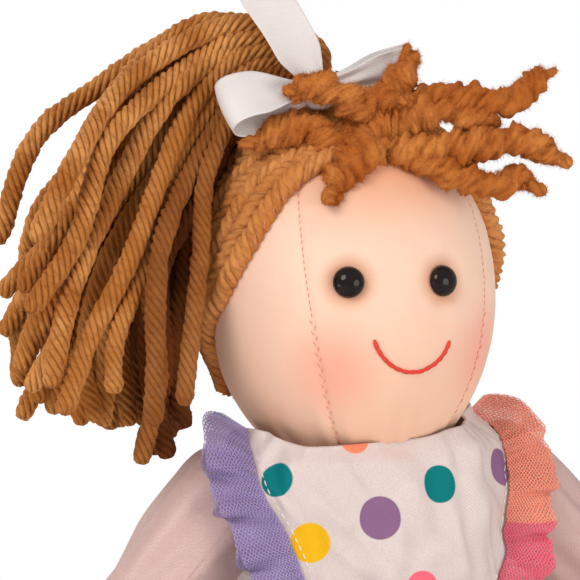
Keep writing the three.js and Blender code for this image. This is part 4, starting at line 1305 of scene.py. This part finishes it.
# assemble
floor()
head_mesh()
smile()
seam_threads()
for eye_name, eye_spot in EYES.items():
    domed_eye(eye_name, *eye_spot)
hair_base()
cap_yarns()
hairline_stitches()
ponytail()
fringe()
ribbon_loop("bow_right_ribbon", -1, 31, 7, -36, "bow_right_loop", 18.0, 7.0)
ribbon_loop("bow_left_ribbon", 1, 33, 14, 12, "bow_left_loop", 11.5, 4.0)
bow_knot()
ribbon_tail("tail_up_ribbon", [(0, 2, -4.5), (-2.5, 10, -5.5), (-8, 22, -6), (-14, 32, -6), (-20, 43, -4.5)],
            "ribbon_tail_up", 15.5, 0.45, 0.8)
ribbon_tail("tail_side_ribbon", [(7, -1, -6.6), (14, 0, -9), (21, 1, -13), (28, 2, -17)],
            "ribbon_tail_side", 12, -0.4, 0.8)
torso()
bodice("bib_front", "bodice_front", -90, 90, BIB_SATIN, 150)
bodice("back_right_satin", "bodice_back_right", -179.8, -90, DOTTED, 80)
bodice("back_left_satin", "bodice_back_left", 90, 179.8, DOTTED, 80)
topstitching()
ruffle("purple", -1, BIB_FOOT, BIB_TOP, 19.5, 1.0)
ruffle("coral", 1, COLOR_CHANGE - 0.6, BIB_TOP, 16.0, 4.0, 0.55)
ruffle("pink", 1, BIB_FOOT, COLOR_CHANGE, 16.5, 4.0, 0.55)
waistband()
tapes()
skirts()
arms()
legs()
dress_cad("hair_tie", plain("hair elastic", (0.25, 0.09, 0.03), 0.8), 2)
dress_cad("neck", BODY)
dress_cad("head_stuffing", plain("stuffing fibre", (0.85, 0.83, 0.78), 1.0))
washer = plain("washer plastic", (0.80, 0.80, 0.78), 0.5)
for eye_name in EYES:
    dress_cad(f"{eye_name}_washer", washer)

# camera and light
back = compass(-YAW)
flat_right = compass(90 - YAW)
up_axis = Vector((0, 0, 1))
cam_right = flat_right * cos(ROLL) - up_axis * sin(ROLL)
cam_up = up_axis * cos(ROLL) + flat_right * sin(ROLL)
distance = 1.0
SENSOR = 36  # width of the camera's sensor, in its own millimetres
centre = point((0, 0, HEAD_Z))
eye_place = centre + back * distance - cam_right * (AIM[0] * DOT * 0.001) - cam_up * (AIM[1] * DOT * 0.001)
camera_data = bpy.data.cameras.new("camera")
camera_data.sensor_width = SENSOR
camera_data.lens = SENSOR * distance / (PICTURE * DOT * 0.001)
camera_data.clip_end = 20
camera = bpy.data.objects.new("camera", camera_data)
camera.matrix_world = Matrix((
    (cam_right.x, cam_up.x, back.x, eye_place.x),
    (cam_right.y, cam_up.y, back.y, eye_place.y),
    (cam_right.z, cam_up.z, back.z, eye_place.z),
    (0, 0, 0, 1),
))
bpy.context.scene.collection.objects.link(camera)
bpy.context.scene.camera = camera


def area_light(name, offset, size, power, color=(1, 1, 1)):
    data = bpy.data.lights.new(name, "AREA")
    data.energy, data.size, data.color, data.shape = power, size, color, "DISK"
    obj = bpy.data.objects.new(name, data)
    place = centre + flat_right * offset[0] + up_axis * offset[1] + back * offset[2]
    obj.location = place
    obj.rotation_mode = "QUATERNION"
    obj.rotation_quaternion = (centre - place).to_track_quat("-Z", "Y")
    bpy.context.scene.collection.objects.link(obj)


area_light("key", (-0.45, 0.5, 0.75), 0.5, 5.1, (1.0, 0.96, 0.92))
area_light("fill", (0.65, -0.1, 0.65), 0.6, 3.6, (1.0, 0.94, 0.90))
area_light("rim", (-0.3, 0.5, -0.6), 0.5, 3.0)
area_light("side", (-0.8, -0.35, 0.4), 0.6, 2.0)

world = bpy.data.worlds.new("white room")
bpy.context.scene.world = world
world.use_nodes = True
tree = world.node_tree
background = tree.nodes["Background"]
ray = tree.nodes.new("ShaderNodeLightPath")
strength = tree.nodes.new("ShaderNodeMapRange")
tree.links.new(ray.outputs["Is Camera Ray"], strength.inputs[0])
strength.inputs[3].default_value = 0.56  # light that the room gives
strength.inputs[4].default_value = 1.0  # white that the camera sees
tree.links.new(strength.outputs[0], background.inputs["Strength"])
background.inputs["Color"].default_value = (1, 1, 1, 1)
bpy.context.scene.view_settings.view_transform = "Standard"
bpy.context.scene.view_settings.look = "None"
